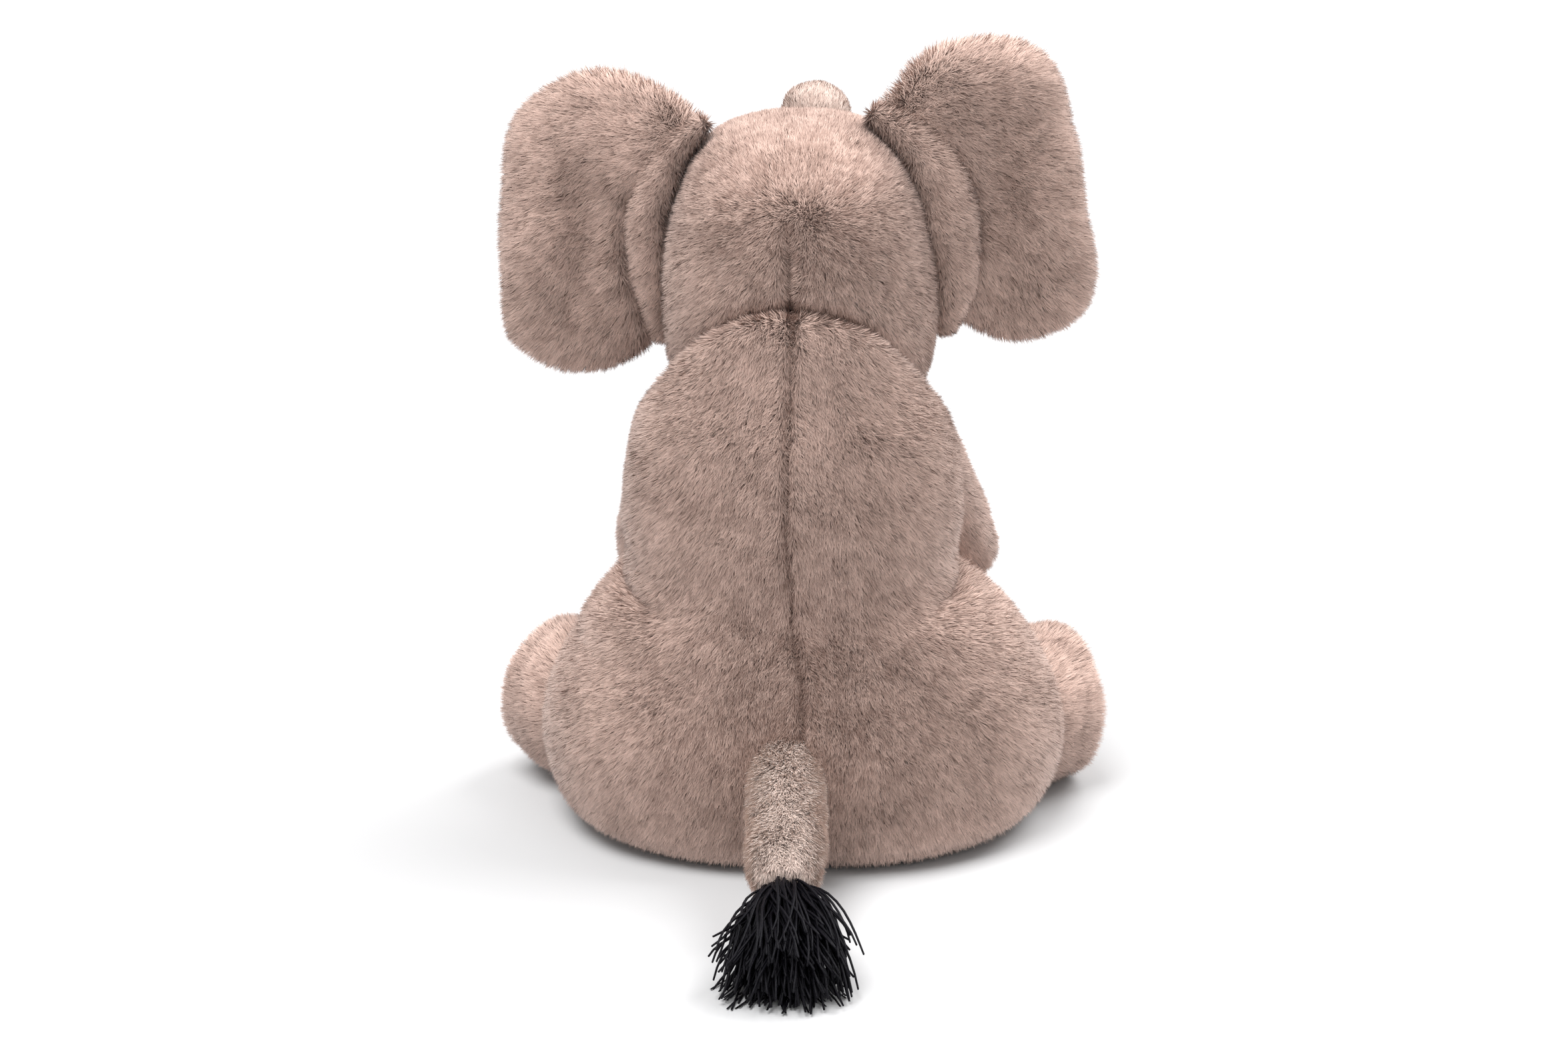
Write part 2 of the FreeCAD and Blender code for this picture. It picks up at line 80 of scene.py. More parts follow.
HIP_SHIFT = 4  # how far the hips sit to the toy's right, in mm


def past_neck(points):
    """How far points are above the neck seam, in mm."""
    return points @ NECK_OUT / MM - NECK_SEAM + NECK_DIP * np.minimum((points[:, 0] / 0.044) ** 2, 1.3)


def smooth(rows, at):
    """Smooth curves through evenly spaced rows of values, read at shares 0 to 1 of their length."""
    rows = np.array(rows, float)
    slopes = np.gradient(rows, axis=0)
    at = np.asarray(at) * (len(rows) - 1)
    i = np.clip(at.astype(int), 0, len(rows) - 2)
    t = (at - i)[:, None]
    return (
        (2 * t**3 - 3 * t**2 + 1) * rows[i]
        + (t**3 - 2 * t**2 + t) * slopes[i]
        + (3 * t**2 - 2 * t**3) * rows[i + 1]
        + (t**3 - t**2) * slopes[i + 1]
    )


def stacked_rings(rows, levels, columns, middle_x=0.0, power=2.2):
    """Level rings of a rounded-oval section, from rows as TORSO_RINGS has them, in metres."""
    z, side, back, front, middle_y = smooth(rows, np.linspace(0, 1, levels)).T[:, :, None]
    turn = np.linspace(0, 2 * math.pi, columns, endpoint=False)[None, :]
    across = np.sign(np.cos(turn)) * np.abs(np.cos(turn)) ** (2 / power)
    deep = np.sign(np.sin(turn)) * np.abs(np.sin(turn)) ** (2 / power)
    x = middle_x + side * across
    y = middle_y + np.where(deep > 0, back, front) * deep
    return np.stack([x, y, z + 0 * x], axis=2) * MM


def closed_skin(name, rings):
    """A closed mesh from rings of points, with a pole at each end, faces outwards."""
    levels, columns, _ = rings.shape
    points = np.concatenate([rings.reshape(-1, 3), [rings[0].mean(0)], [rings[-1].mean(0)]])
    start, end = levels * columns, levels * columns + 1
    faces = []
    for i in range(levels - 1):
        for j in range(columns):
            k = (j + 1) % columns
            faces.append((i * columns + j, i * columns + k, (i + 1) * columns + k, (i + 1) * columns + j))
    last = (levels - 1) * columns
    for j in range(columns):
        k = (j + 1) % columns
        faces.append((start, k, j))
        faces.append((end, last + j, last + k))
    a, b, c = (points[[f[n] for f in faces]] for n in (0, 1, 2))
    if (np.cross(a, b) * c).sum() < 0:
        faces = [f[::-1] for f in faces]
    mesh = bpy.data.meshes.new(name)
    mesh.from_pydata(points.tolist(), [], faces)
    mesh.shade_smooth()
    skin = bpy.data.objects.new(name, mesh)
    bpy.context.scene.collection.objects.link(skin)
    return skin


def points_of(skin):
    co = np.zeros(len(skin.data.vertices) * 3, np.float32)
    skin.data.vertices.foreach_get("co", co)
    return co.reshape(-1, 3).astype(float)


def normals_of(skin):
    out = np.zeros(len(skin.data.vertices) * 3, np.float32)
    skin.data.vertex_normals.foreach_get("vector", out)
    return out.reshape(-1, 3).astype(float)


def move_points(skin, points):
    skin.data.vertices.foreach_set("co", points.astype(np.float32).ravel())
    skin.data.update()


def mark(skin, name, kind, domain, values):
    """Stores values on the skin as an attribute, for the pile to read."""
    field = "vector" if kind == "FLOAT_VECTOR" else "value"
    attribute = skin.data.attributes.new(name, kind, domain)
    attribute.data.foreach_set(field, np.ascontiguousarray(values).ravel())


def hollows(points, size, seed):
    """Gentle unevenness of packed stuffing, from -1 to 1, over a few wavelengths near size."""
    rng = np.random.default_rng(seed)
    total = np.zeros(len(points))
    for _ in range(7):
        way = rng.normal(size=3)
        way *= 2 * math.pi / (size * rng.uniform(0.7, 1.6) * np.linalg.norm(way))
        total += np.sin(points @ way + rng.uniform(0, 6.28))
    return total / 4


def crease(points, path, width):
    """How near each point is to a sewn line through path, from 0 far off to 1 on it."""
    path = np.array(path) * MM
    best = np.full(len(points), 9.0)
    for a, b in zip(path[:-1], path[1:]):
        t = np.clip((points - a) @ (b - a) / ((b - a) @ (b - a)), 0, 1)
        best = np.minimum(best, np.linalg.norm(points - a - t[:, None] * (b - a), axis=1))
    return np.exp(-((best / width) ** 2))


def tree_of(skin):
    return BVHTree.FromPolygons(
        [v.co for v in skin.data.vertices], [tuple(p.vertices) for p in skin.data.polygons]
    )


def buried(points, skin):
    """Depth of each point inside another skin, in metres, and 0 or less outside it."""
    tree = tree_of(skin)
    low, high = np.array(points_of(skin).min(0)) - 0.006, np.array(points_of(skin).max(0)) + 0.006
    depth = np.full(len(points), -0.006)
    for i in np.flatnonzero(((points > low) & (points < high)).all(1)):
        spot, normal, _, _ = tree.find_nearest(Vector(points[i]))
        gap = Vector(points[i]) - spot
        depth[i] = -gap.length if gap.dot(normal) > 0 else gap.length
    return depth


def comb(skin, ways):
    """Marks the way the pile lies at each point, along the skin, and the skin's own outward way."""
    out = normals_of(skin)
    ways = ways - (ways * out).sum(1)[:, None] * out
    ways /= np.maximum(np.linalg.norm(ways, axis=1), 0.35)[:, None]
    mark(skin, "comb", "FLOAT_VECTOR", "POINT", ways)
    mark(skin, "out", "FLOAT_VECTOR", "POINT", out)


def name_panels(skin, choose):
    """Marks each face with the number of the fabric panel that it was cut from."""
    middles = np.zeros(len(skin.data.polygons) * 3, np.float32)
    skin.data.polygons.foreach_get("center", middles)
    mark(skin, "panel", "INT", "FACE", choose(middles.reshape(-1, 3) / MM).astype(np.int32))


torso = closed_skin("torso_skin", stacked_rings(TORSO_RINGS, 150, 288))
place = points_of(torso)
out = normals_of(torso)
x, y, z = place.T / MM
behind = np.clip(out[:, 1] * 3, 0, 1)
seam_x = 1.2 * np.sin(z / 19 + 0.6) + 0.8
centre_seam = np.exp(-(((x - seam_x) / 1.5) ** 2)) * behind * (z > 34)
side_seam = np.exp(-(((y - BELLY_LINE_Y) / 2.2) ** 2)) * (np.abs(out[:, 0]) > 0.35) * (z > SEAT_SEAM_Z)
seat_seam = np.exp(-(((z - SEAT_SEAM_Z) / 2.0) ** 2))
valley = np.exp(-(((x - seam_x) / 20) ** 2)) * behind * np.clip((150 - z) / 60, 0, 1)
waist = np.exp(-(((z - 93 + (60 - np.abs(x)) * 0.16) / 3.2) ** 2)) * np.clip((np.abs(x) - 44) / 14, 0, 1)
lumps = hollows(place, 0.055, 3) * np.clip((z - 6) / 20, 0, 1)
above_neck = past_neck(place)
neck_seam = np.exp(-((above_neck / 3.0) ** 2))
tucked = np.clip(above_neck / 7, 0, 1)
relief = lumps * 1.0 - 2.0 * centre_seam - 1.4 * side_seam - 1.2 * seat_seam - 1.6 * valley - 3.6 * waist
relief -= 2.2 * neck_seam + 11 * tucked**2 * (3 - 2 * tucked)
place += out * (relief * MM)[:, None]
place[:, 0] -= HIP_SHIFT * MM * np.clip((96 - z) / 25, 0, 1) ** 1.5
place[:, 2] = np.maximum(place[:, 2], FLOOR_GAP * MM)
move_points(torso, place)
away = np.stack([x * 0.006, 0 * x, -1 + 0 * x], axis=1)
parting = np.sign(x - seam_x) * np.exp(-(((x - seam_x) / 7) ** 2)) * behind
away[:, 0] += parting * 0.9
comb(torso, away)
# Painted light and shade in the pile's tone: painted shade along the centre, waist and neck seams, in the
# back's valley and low on the middle of the back, and painted light on the sides and over the upper torso.
# Where the marks are darkest the pile is also trimmed shorter.
mark(torso, "shade", "FLOAT", "POINT", (
    -0.34 * centre_seam - 0.10 * valley + 0.08 * (np.abs(x) > 70) - 0.22 * waist - 0.58 * neck_seam
    - 0.22 * np.exp(-(((z - 60) / 38) ** 2)) * np.exp(-((x / 42) ** 2)) * behind
    + 0.14 * np.clip((z - 126) / 34, 0, 1)
).astype(np.float32))


def torso_panel(at):
    """Seat 0, belly 1, then left back and hip 2 and 3, and right back and hip 4 and 5."""
    left, upper = at[:, 0] > BACK_SEAM_X, at[:, 2] > HIP_TOP_Z
    return np.select([at[:, 2] < SEAT_SEAM_Z, at[:, 1] < BELLY_LINE_Y, left & upper, left, upper],
                     [0, 1, 2, 3, 4], 5)


def wire(tree, kind, feeds=None, **settings):
    """Adds a node with its settings, and feeds each named input from a socket or a plain value."""
    node = tree.nodes.new(kind)
    for key, value in settings.items():
        setattr(node, key, value)
    for key, value in (feeds or {}).items():
        if isinstance(value, bpy.types.NodeSocket):
            tree.links.new(value, node.inputs[key])
        else:
            node.inputs[key].default_value = value
    return node


def new_material(name, **sockets):
    """A material with a Principled shader; every constant is set on the shader's own socket."""
    material = bpy.data.materials.new(name)
    material.use_nodes = True
    tree = material.node_tree
    shader = tree.nodes["Principled BSDF"]
    for key, value in sockets.items():
        shader.inputs[key.replace("_", " ")].default_value = value
    return material, tree, shader


def surface_pattern(tree, feeds, kind="ShaderNodeTexNoise"):
    """A pattern in the piece's own coordinates."""
    place = wire(tree, "ShaderNodeTexCoord").outputs["Object"]
    return wire(tree, kind, {"Vector": place, **feeds})


def two_tones(tree, shader, share, dark, light):
    """Colours a shader between two tones by a share that changes over the piece."""
    tone = wire(tree, "ShaderNodeMix", {0: share, 6: dark, 7: light}, data_type="RGBA")
    tree.links.new(tone.outputs[2], shader.inputs["Base Color"])


def relief_of(tree, shader, height, strength, depth):
    """Raises a pattern's height in relief, depth in metres."""
    bump = wire(tree, "ShaderNodeBump", {"Height": height, "Strength": strength, "Distance": depth})
    tree.links.new(bump.outputs[0], shader.inputs["Normal"])


def cloth_material(name, dark, light, stitch_mm):
    """Knitted cloth backing: two tones that drift over the piece, with fine knitted ribs in relief."""
    material, tree, shader = new_material(name, Roughness=0.92, Sheen_Weight=0.15)
    drift = surface_pattern(tree, {"Scale": 90.0, "Detail": 4.0})
    two_tones(tree, shader, drift.outputs[0], dark, light)
    ribs = surface_pattern(tree, {"Scale": 314 / stitch_mm, "Distortion": 1.5, "Detail Scale": 2.0},
                   "ShaderNodeTexWave")
    relief_of(tree, shader, ribs.outputs[1], 0.5, 0.0004)
    return material


backing = cloth_material("plush_backing", (0.26, 0.18, 0.155, 1), (0.38, 0.27, 0.235, 1), 1.2)


def cover(skin, choose=lambda at: 0 * at[:, 0]):
    """Gives a stuffed skin its panel numbers and its cloth backing."""
    name_panels(skin, choose)
    skin.data.materials.append(backing)


cover(torso, choose=torso_panel)
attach(torso, "torso")
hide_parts("back_panel_left", "back_panel_right", "belly_panel", "seat_panel", "body_stuffing")

# ---- Pellet pouch and closing thread ----
# A small canvas bag of plastic pellets sits low in the stuffing, so that the toy stays seated.
# The ladder stitches that close the back are pulled down into the pile and only just show.
POUCH_RINGS = [(7.5, 6, 5, 5, 24), (10, 21, 13, 13, 24), (16, 29, 18, 18, 24), (22, 31, 19.5, 19.5, 24),
               (28, 27, 17, 17, 24), (33, 16, 11, 11, 24), (35.5, 5, 4, 4, 24)]
pouch = closed_skin("pellet_bag", stacked_rings(POUCH_RINGS, 40, 96))
place = points_of(pouch)
pellets = hollows(place, 0.006, 11) * 0.7 + hollows(place, 0.02, 12) * 0.8
place += normals_of(pouch) * pellets[:, None] * MM
move_points(pouch, place)
pouch.data.materials.append(
    cloth_material("pouch_canvas", (0.50, 0.45, 0.37, 1), (0.66, 0.61, 0.52, 1), 0.6))
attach(pouch, "torso")
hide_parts("pellet_pouch", "pellet_fill")

thread, tree, shader = new_material("sewing_thread", Roughness=0.55, Sheen_Weight=0.3)
ply = surface_pattern(tree, {"Scale": 900.0, "Distortion": 1.0}, "ShaderNodeTexWave").outputs[1]
two_tones(tree, shader, ply, (0.13, 0.09, 0.075, 1), (0.24, 0.17, 0.14, 1))
relief_of(tree, shader, ply, 0.6, 0.0002)


def refinish(node, material):
    """Gives a CAD node that stays in view its own material."""
    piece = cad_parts[node]
    piece.data.materials.clear()
    piece.data.materials.append(material)


refinish("closing_thread", thread)

# ---- Head ----
# A back panel and two face panels of the same plush, sewn with a dart at the nape and stuffed firm.
# It sits on the torso's ball-shaped top, and the neck seam is hidden in the pile.
HEAD_RINGS = [(143, 9, 9, 11, -20), (144.5, 20, 14, 24, -20), (150, 33, 25, 38, -20),
              (160, 41.5, 36, 47, -20), (172, 45.5, 44, 53, -20), (185, 47, 48, 56, -20),
              (200, 47.5, 48.5, 56, -20), (214, 46.5, 47, 53, -20), (228, 43.5, 43, 49, -20),
              (240, 37.5, 35.5, 42, -20), (248.5, 28.5, 26, 32, -20), (252.5, 19, 16, 22, -20),
              (254, 8, 7, 9, -20)]
HEAD_MIDDLE_X = -3
EAR_SEAM_Y = -20

head = closed_skin("head_skin", stacked_rings(HEAD_RINGS, 96, 216, float(HEAD_MIDDLE_X)))
place = points_of(head)
out = normals_of(head)
x, y, z = place.T / MM
dart = np.exp(-(((x - 0.6) / 2.2) ** 2)) * (out[:, 1] > 0.3) * np.clip((226 - z) / 10, 0, 1) * (z > 176)
tucks = np.exp(-(((np.abs(x + 3) - 29) / 2.6) ** 2)) * (out[:, 1] > 0.2) * np.exp(-(((z - 208) / 9) ** 2))
ear_seam = np.exp(-(((y - EAR_SEAM_Y) / 2.2) ** 2)) * (np.abs(out[:, 0]) > 0.35)
face_seam = np.exp(-(((x - HEAD_MIDDLE_X) / 2.2) ** 2)) * (out[:, 1] < -0.2)
below_neck = -past_neck(place)
neck_seam = np.exp(-((below_neck / 3.0) ** 2))
tucked = np.clip(below_neck / 7, 0, 1)
relief = hollows(place, 0.045, 5) * 0.9 - 3.2 * dart - 1.2 * tucks - 1.4 * ear_seam - 1.0 * face_seam
relief -= 2.2 * neck_seam + 9 * tucked**2 * (3 - 2 * tucked)
place += out * (relief * MM)[:, None]
move_points(head, place)
over = np.clip((z - 196) / 52, 0, 1)
comb(head, np.stack([(x - HEAD_MIDDLE_X) * 0.012, -0.8 * over, over - 1], axis=1))
# Painted shade in the pile's tone: in the nape's dart and tucks, along the neck seam, over the nape and over
# the top of the head.
mark(head, "shade", "FLOAT", "POINT", (
    -0.34 * dart - 0.08 * tucks - 0.36 * np.clip((z - 205) / 30, 0, 1) - 0.30 * neck_seam
    - 0.14 * np.exp(-(((z - 200) / 16) ** 2)) * np.exp(-((x / 22) ** 2)) * (out[:, 1] > 0.3)
).astype(np.float32))
cover(head, choose=lambda at: np.where(at[:, 1] > EAR_SEAM_Y, 0, 1))
NECK_BAND = (tuple(NECK_OUT * 0.122), tuple(NECK_OUT * 0.150))
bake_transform(head, "torso", "head", *NECK_BAND)
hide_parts("head_back_panel", "face_panel_left", "face_panel_right", "head_stuffing")

# ---- Eyes ----
# Domed black plastic safety eyes with a thin rim. Each one's ribbed shank goes through the face
# panel, and a white washer is pushed on behind to lock it.
EYE_SHANK = [(1.8, -10.2), (1.8, -8.6), (1.5, -8.2), (1.8, -7.8), (1.5, -7.2), (1.8, -6.6), (1.7, -1.6),
             (5.4, -1.2)]  # radius and height over the fabric, in mm
EYE_PROFILE = [(5.9, -0.7), (6.0, -0.2), (5.9, 0.25), (5.5, 0.5), (5.35, 0.75), (5.2, 1.6), (4.75, 2.7),
               (4.0, 3.8), (3.0, 4.7), (1.7, 5.3), (0.6, 5.5)]


def dressed_ring(centre, across, deep, radius_a, radius_b, columns):
    """One ring of points round a centre, on two directions square to each other."""
    turn = np.linspace(0, 2 * math.pi, columns, endpoint=False)[:, None]
    return centre + np.cos(turn) * across * radius_a + np.sin(turn) * deep * radius_b


gloss, tree, shader = new_material(
    "eye_plastic", Roughness=0.06, IOR=1.5, Coat_Weight=0.5, Coat_Roughness=0.03)
dust = surface_pattern(tree, {"Scale": 1600.0, "Detail": 3.0})
two_tones(tree, shader, dust.outputs[0], (0.004, 0.003, 0.003, 1), (0.014, 0.010, 0.009, 1))
wear = wire(tree, "ShaderNodeMapRange", {"Value": dust.outputs[0], "To Min": 0.04, "To Max": 0.16})
tree.links.new(wear.outputs[0], shader.inputs["Roughness"])
EYE_LIFT = 2.2
head_tree = tree_of(head)
eye_places = {}
for side in ("left", "right"):
    low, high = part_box("eye_" + side)
    seat, facing, _, _ = head_tree.find_nearest((low + high) / 2)
    facing = np.array(facing)
    seat = np.array(seat) + facing * EYE_LIFT * MM
    eye_places[side] = seat
    level = np.cross(facing, (0, 0, 1))
    level /= np.linalg.norm(level)
    upright = np.cross(level, facing)
    rings = [dressed_ring(seat + facing * h * MM, level, upright, r * MM, r * MM, 40)
             for r, h in EYE_SHANK + EYE_PROFILE]
    eye = closed_skin("eye_dome_" + side, np.array(rings))
    eye.data.materials.append(gloss)
    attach(eye, "head")
    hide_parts("eye_" + side)

nylon, tree, shader = new_material("washer_nylon", Roughness=0.4, Subsurface_Weight=0.1)
flow = surface_pattern(tree, {"Scale": 400.0, "Detail": 2.0})
two_tones(tree, shader, flow.outputs[0], (0.72, 0.72, 0.69, 1), (0.83, 0.83, 0.80, 1))
refinish("eye_washer_left", nylon)
refinish("eye_washer_right", nylon)

# ---- Ears ----
# Each ear is two shaped panels of plush turned right side out over a flat pad of wadding. It is
# folded at its root and caught in the head's side seam, which pinches a soft base strip beside it.
EAR_PATTERN = {  # x and z round each ear's outline, in mm
    "left": [(30, 250), (37, 262), (50, 271), (68, 273.5), (85, 269.5), (98, 259), (104.5, 243),
             (106.5, 218), (107, 195), (104.5, 174), (93, 162.5), (75, 160), (58, 165.5), (47, 176),
             (41, 200), (37, 230)],
    "right": [(-25, 254), (-32, 266), (-46, 280), (-66, 286), (-84, 281.5), (-97, 268.5), (-102.5, 250),
              (-105, 230), (-111, 207), (-110, 187), (-100, 176), (-81, 172.5), (-63, 177.5), (-51, 186),
              (-43, 208), (-36, 236)],
}
EAR_MIDDLE = {"left": (74, 218), "right": (-75, 230)}
EAR_FOLD = {
    "left": [(28, -6, 256), (39, -5, 250), (49, -5, 242), (55, -6, 231), (57.5, -7, 219), (56.5, -8, 207),
             (53, -9, 195), (48, -10, 180), (46, -10, 172)],
    "right": [(-24, -4, 256), (-39, -4, 253), (-51, -5, 249), (-57.5, -5, 241), (-61, -6, 230),
              (-63, -7, 217), (-62, -8, 203), (-58, -9, 190), (-54, -10, 182)],
}
EAR_ROOT = {"left": ((47, -20, 174), (30, -20, 252)), "right": ((-47, -20, 186), (-30, -20, 256))}
EAR_HALF_DEPTH = 9.0
FRINGE = 4.6  # how far the pile stands past the fabric's edge, in mm
ears = {}
ear_bands = {}
for side, pattern in EAR_PATTERN.items():
    closed = np.array(pattern + pattern[:3], float)
    count = len(pattern)
    at = (1 + np.linspace(0, count, 176, endpoint=False)) / (len(closed) - 1)
    edge = smooth(closed, at)
    tangent = np.roll(edge, -1, axis=0) - np.roll(edge, 1, axis=0)
    inward = np.stack([-tangent[:, 1], tangent[:, 0]], axis=1)
    inward /= np.linalg.norm(inward, axis=1)[:, None]
    middle = np.array(EAR_MIDDLE[side], float)
    inward *= np.sign(((middle - edge) * inward).sum(1))[:, None]
    edge = edge + inward * FRINGE
    reach = np.concatenate([np.linspace(0.03, 0.86, 26), np.sin(np.linspace(1.04, 1.57, 12))])
    rings = []
    for face, shares in ((1, reach), (-1, reach[-2::-1])):
        for t in shares:
            spot = middle + (edge - middle) * t
            depth = EAR_HALF_DEPTH * math.sqrt(max(1 - t**3.2, 0))
            away = np.abs(spot[:, 0]) - 45
            bowl = -0.0011 * np.maximum(away, 0) ** 2 + EAR_SEAM_Y
            rings.append(np.stack([spot[:, 0], bowl + face * depth, spot[:, 1]], axis=1) * MM)
    ear = closed_skin("ear_skin_" + side, np.array(rings))
    place = points_of(ear)
    out = normals_of(ear)
    x, y, z = place.T / MM
    fold = crease(place, EAR_FOLD[side], 4.2 * MM)
    back = out[:, 1] > 0
    dip = np.exp(-(((np.abs(x) - 74) / 9) ** 2)) * np.exp(-(((z - middle[1] + 8) / 24) ** 2)) * back
    relief = hollows(place, 0.035, 7 + len(side)) * 1.4 - 8.0 * fold * back - 3.0 * dip
    place += out * (relief * MM)[:, None]
    move_points(ear, place)
    sign = float(np.sign(middle[0]))
    comb(ear, np.stack([sign * np.maximum(np.abs(x) - 30, 5) * 0.02, 0 * x,
                        (z - middle[1]) * 0.012 - 0.45], axis=1))
    # Painted shade in the pile's tone along the fold and in the hollow on the ear's back, and painted light
    # towards its outer edge and over its top.
    mark(ear, "shade", "FLOAT", "POINT", (
        -0.56 * fold * back - 0.16 * dip + 0.10 * np.clip((np.abs(x) - 80) / 20, 0, 1)
        + 0.06 * np.clip((z - 240) / 25, 0, 1)).astype(np.float32))
    cover(ear)
    low, high = (Vector(end) * MM for end in EAR_ROOT[side])
    axis = (high - low).normalized()
    away = Vector((sign, 0, 0)) - axis * axis.x * sign
    away.normalize()
    ear_bands[side] = (low - away * 0.003, low + away * 0.018)
    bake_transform(ear, "head", "ear_" + side, *ear_bands[side])
    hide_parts(*(part + side for part in ("ear_back_", "ear_front_", "ear_wadding_")))
    ears[side] = ear

# The root of each ear, doubled over by its fold: a soft roll between the head and the fold, from the
# ear's upper corner down the side seam.
EAR_ROLL = {
    "left": ([(32, -16, 253), (43, -14, 243), (49, -13, 231), (51.5, -13, 218), (51, -13.5, 206),
              (49.5, -15, 194), (46.5, -18, 178)], [3, 5.2, 6.6, 7.2, 7.0, 6.0, 3.5]),
    "right": ([(-30, -16, 256), (-43, -13, 247), (-50.5, -11, 235), (-54.5, -10.5, 221), (-56.5, -11, 207),
               (-57, -13, 194), (-54, -17, 181)], [4, 7.4, 9.2, 9.6, 8.6, 6.8, 3.5]),
}


def bent_tube(name, spine, radii, levels, columns, ends):
    """A closed tube along a smooth line of points, with ends domed by shares of their radii."""
    core = smooth(np.array(spine, float), np.linspace(0, 1, levels))
    size = smooth(np.array(radii, float)[:, None], np.linspace(0, 1, levels))[:, 0]
    ahead = np.gradient(core, axis=0)
    ahead /= np.linalg.norm(ahead, axis=1)[:, None]
    across = np.array((1.0, 0.0, 0.0))
    dome = np.linspace(0.12, 1.45, 9)

    def ring(k, forward, share):
        side = across - ahead[k] * (across @ ahead[k])
        side /= np.linalg.norm(side)
        radius = size[k] * share * MM
        return dressed_ring((core[k] + ahead[k] * forward) * MM, side, np.cross(ahead[k], side),
                            radius, radius, columns)

    last = levels - 1
    rings = [ring(0, -size[0] * ends[0] * math.cos(a), math.sin(a)) for a in dome]
    rings += [ring(k, 0, 1) for k in range(levels)]
    rings += [ring(last, size[last] * ends[1] * math.cos(a), math.sin(a)) for a in dome[::-1]]
    return closed_skin(name, np.array(rings)), core * MM, ahead


ear_rolls = {}
for side, (spine, radii) in EAR_ROLL.items():
    roll, core, ahead = bent_tube("ear_roll_" + side, spine, radii, 60, 72, ends=(0.8, 0.8))
    place = points_of(roll)
    out = normals_of(roll)
    place += out * (hollows(place, 0.022, 60 + len(side)) * 0.7 * MM)[:, None]
    move_points(roll, place)
    sign = 1.0 if side == "left" else -1.0
    comb(roll, np.stack([sign + 0 * place[:, 0], 0.3 + 0 * place[:, 0], -0.7 + 0 * place[:, 0]], axis=1))
    mark(roll, "shade", "FLOAT", "POINT", np.full(len(place), -0.02, np.float32))
    cover(roll)
    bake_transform(roll, "head", "ear_" + side, *ear_bands[side])
    ear_rolls[side] = roll

# ---- Trunk ----
# Two strips of shorter pile sewn into a tapered tube, stuffed and set into the face. It runs out
# level, bends up, and ends in a blunt tip that stands between the ears.
TRUNK_ROOT = Vector((-2, -66, 192))


def comb_along(skin, core, ahead):
    """Combs a tube's pile along its length; returns each point's share of that length."""
    place = points_of(skin)
    gap = ((place[:, None, :] - core[None, ::4, :]) ** 2).sum(2)
    nearest = gap.argmin(1)
    comb(skin, ahead[::4][nearest])
    return nearest / max(len(core[::4]) - 1, 1)


TRUNK_TURN = [22.5, 45, 67.5, 90]
TRUNK_BEND = 28  # the radius of its bend, in mm
TRUNK_RADII = [18.5, 18, 17.5, 17, 16, 15, 14, 13, 12]
spine = [TRUNK_ROOT + Vector((0, 14, 0)), TRUNK_ROOT, TRUNK_ROOT + Vector((0, -14, 0))]
for turn in TRUNK_TURN:
    a = math.radians(turn)
    rise = 1 - math.cos(a)
    spine.append(TRUNK_ROOT + Vector((-4 * rise, -14 - TRUNK_BEND * math.sin(a), TRUNK_BEND * rise)))
spine.append(spine[-1] + Vector((-1.9, 0, 13)))
spine.append(spine[-1] + Vector((-1.3, 0, 8)))
trunk, core, ahead = bent_tube("trunk_skin", spine, TRUNK_RADII, 84, 96, ends=(0.6, 0.75))
share = comb_along(trunk, core, ahead)
place = points_of(trunk)
out = normals_of(trunk)
folds = np.clip(np.sin(share * 44 + hollows(place, 0.03, 21)), 0, 1) * np.clip((share - 0.25) * 4, 0, 1)
under = np.clip(out[:, 1] + 0.2, 0, 1)
place += out * ((hollows(place, 0.025, 20) * 0.5 - 0.7 * folds * under) * MM)[:, None]
move_points(trunk, place)
# Painted shade under the folds on the inside of the bend; the whole trunk's tone is also lowered, a little
# less towards the tip.
mark(trunk, "shade", "FLOAT", "POINT", (0.06 * share - 0.44 - 0.12 * folds * under).astype(np.float32))
cover(trunk)
TRUNK_BAND = (TRUNK_ROOT * MM, (TRUNK_ROOT + Vector((0, -20, 0))) * MM)
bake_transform(trunk, "head", "trunk", *TRUNK_BAND)
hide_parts("trunk_panel_left", "trunk_panel_right", "trunk_stuffing")

# ---- Front legs ----
# Each is a sleeve of two plush panels, stuffed, closed by a flat sole, and ladder-stitched to the
# side of the chest so that it hangs forward and a little outward.
SIDES = {"left": 1, "right": -1}
FRONT_SPLAY = {"left": 6, "right": 17}
FRONT_FORWARD = 32
FRONT_LENGTH = 67
FRONT_RADII = [14, 15.5, 16, 16.2, 16.5, 15.5]
LEG_STEPS = [-0.18, 0, 0.25, 0.5, 0.75, 1.0]  # where a leg's radii are, as shares of its length
PAD_PROFILE = [(0.60, 0.50), (0.70, 0.62), (0.74, 0.82), (0.72, 1.00), (0.65, 1.11), (0.48, 1.18),
               (0.26, 1.21), (0.07, 1.22)]  # as shares of the foot's radius and the depth of its end
suede, tree, shader = new_material("sole_suede", Roughness=0.9, Sheen_Weight=0.35)
nap = surface_pattern(tree, {"Scale": 700.0, "Detail": 6.0, "Roughness": 0.7})
brushed = surface_pattern(tree, {"Scale": 60.0, "Detail": 3.0, "Distortion": 0.8})
blend = wire(tree, "ShaderNodeMath", {0: nap.outputs[0], 1: brushed.outputs[0]}, operation="MULTIPLY")
tone = wire(tree, "ShaderNodeMapRange", {"Value": blend.outputs[0], "From Min": 0.15, "From Max": 0.38})
two_tones(tree, shader, tone.outputs[0], (0.40, 0.29, 0.25, 1), (0.60, 0.46, 0.40, 1))
relief_of(tree, shader, nap.outputs[0], 0.5, 0.0005)


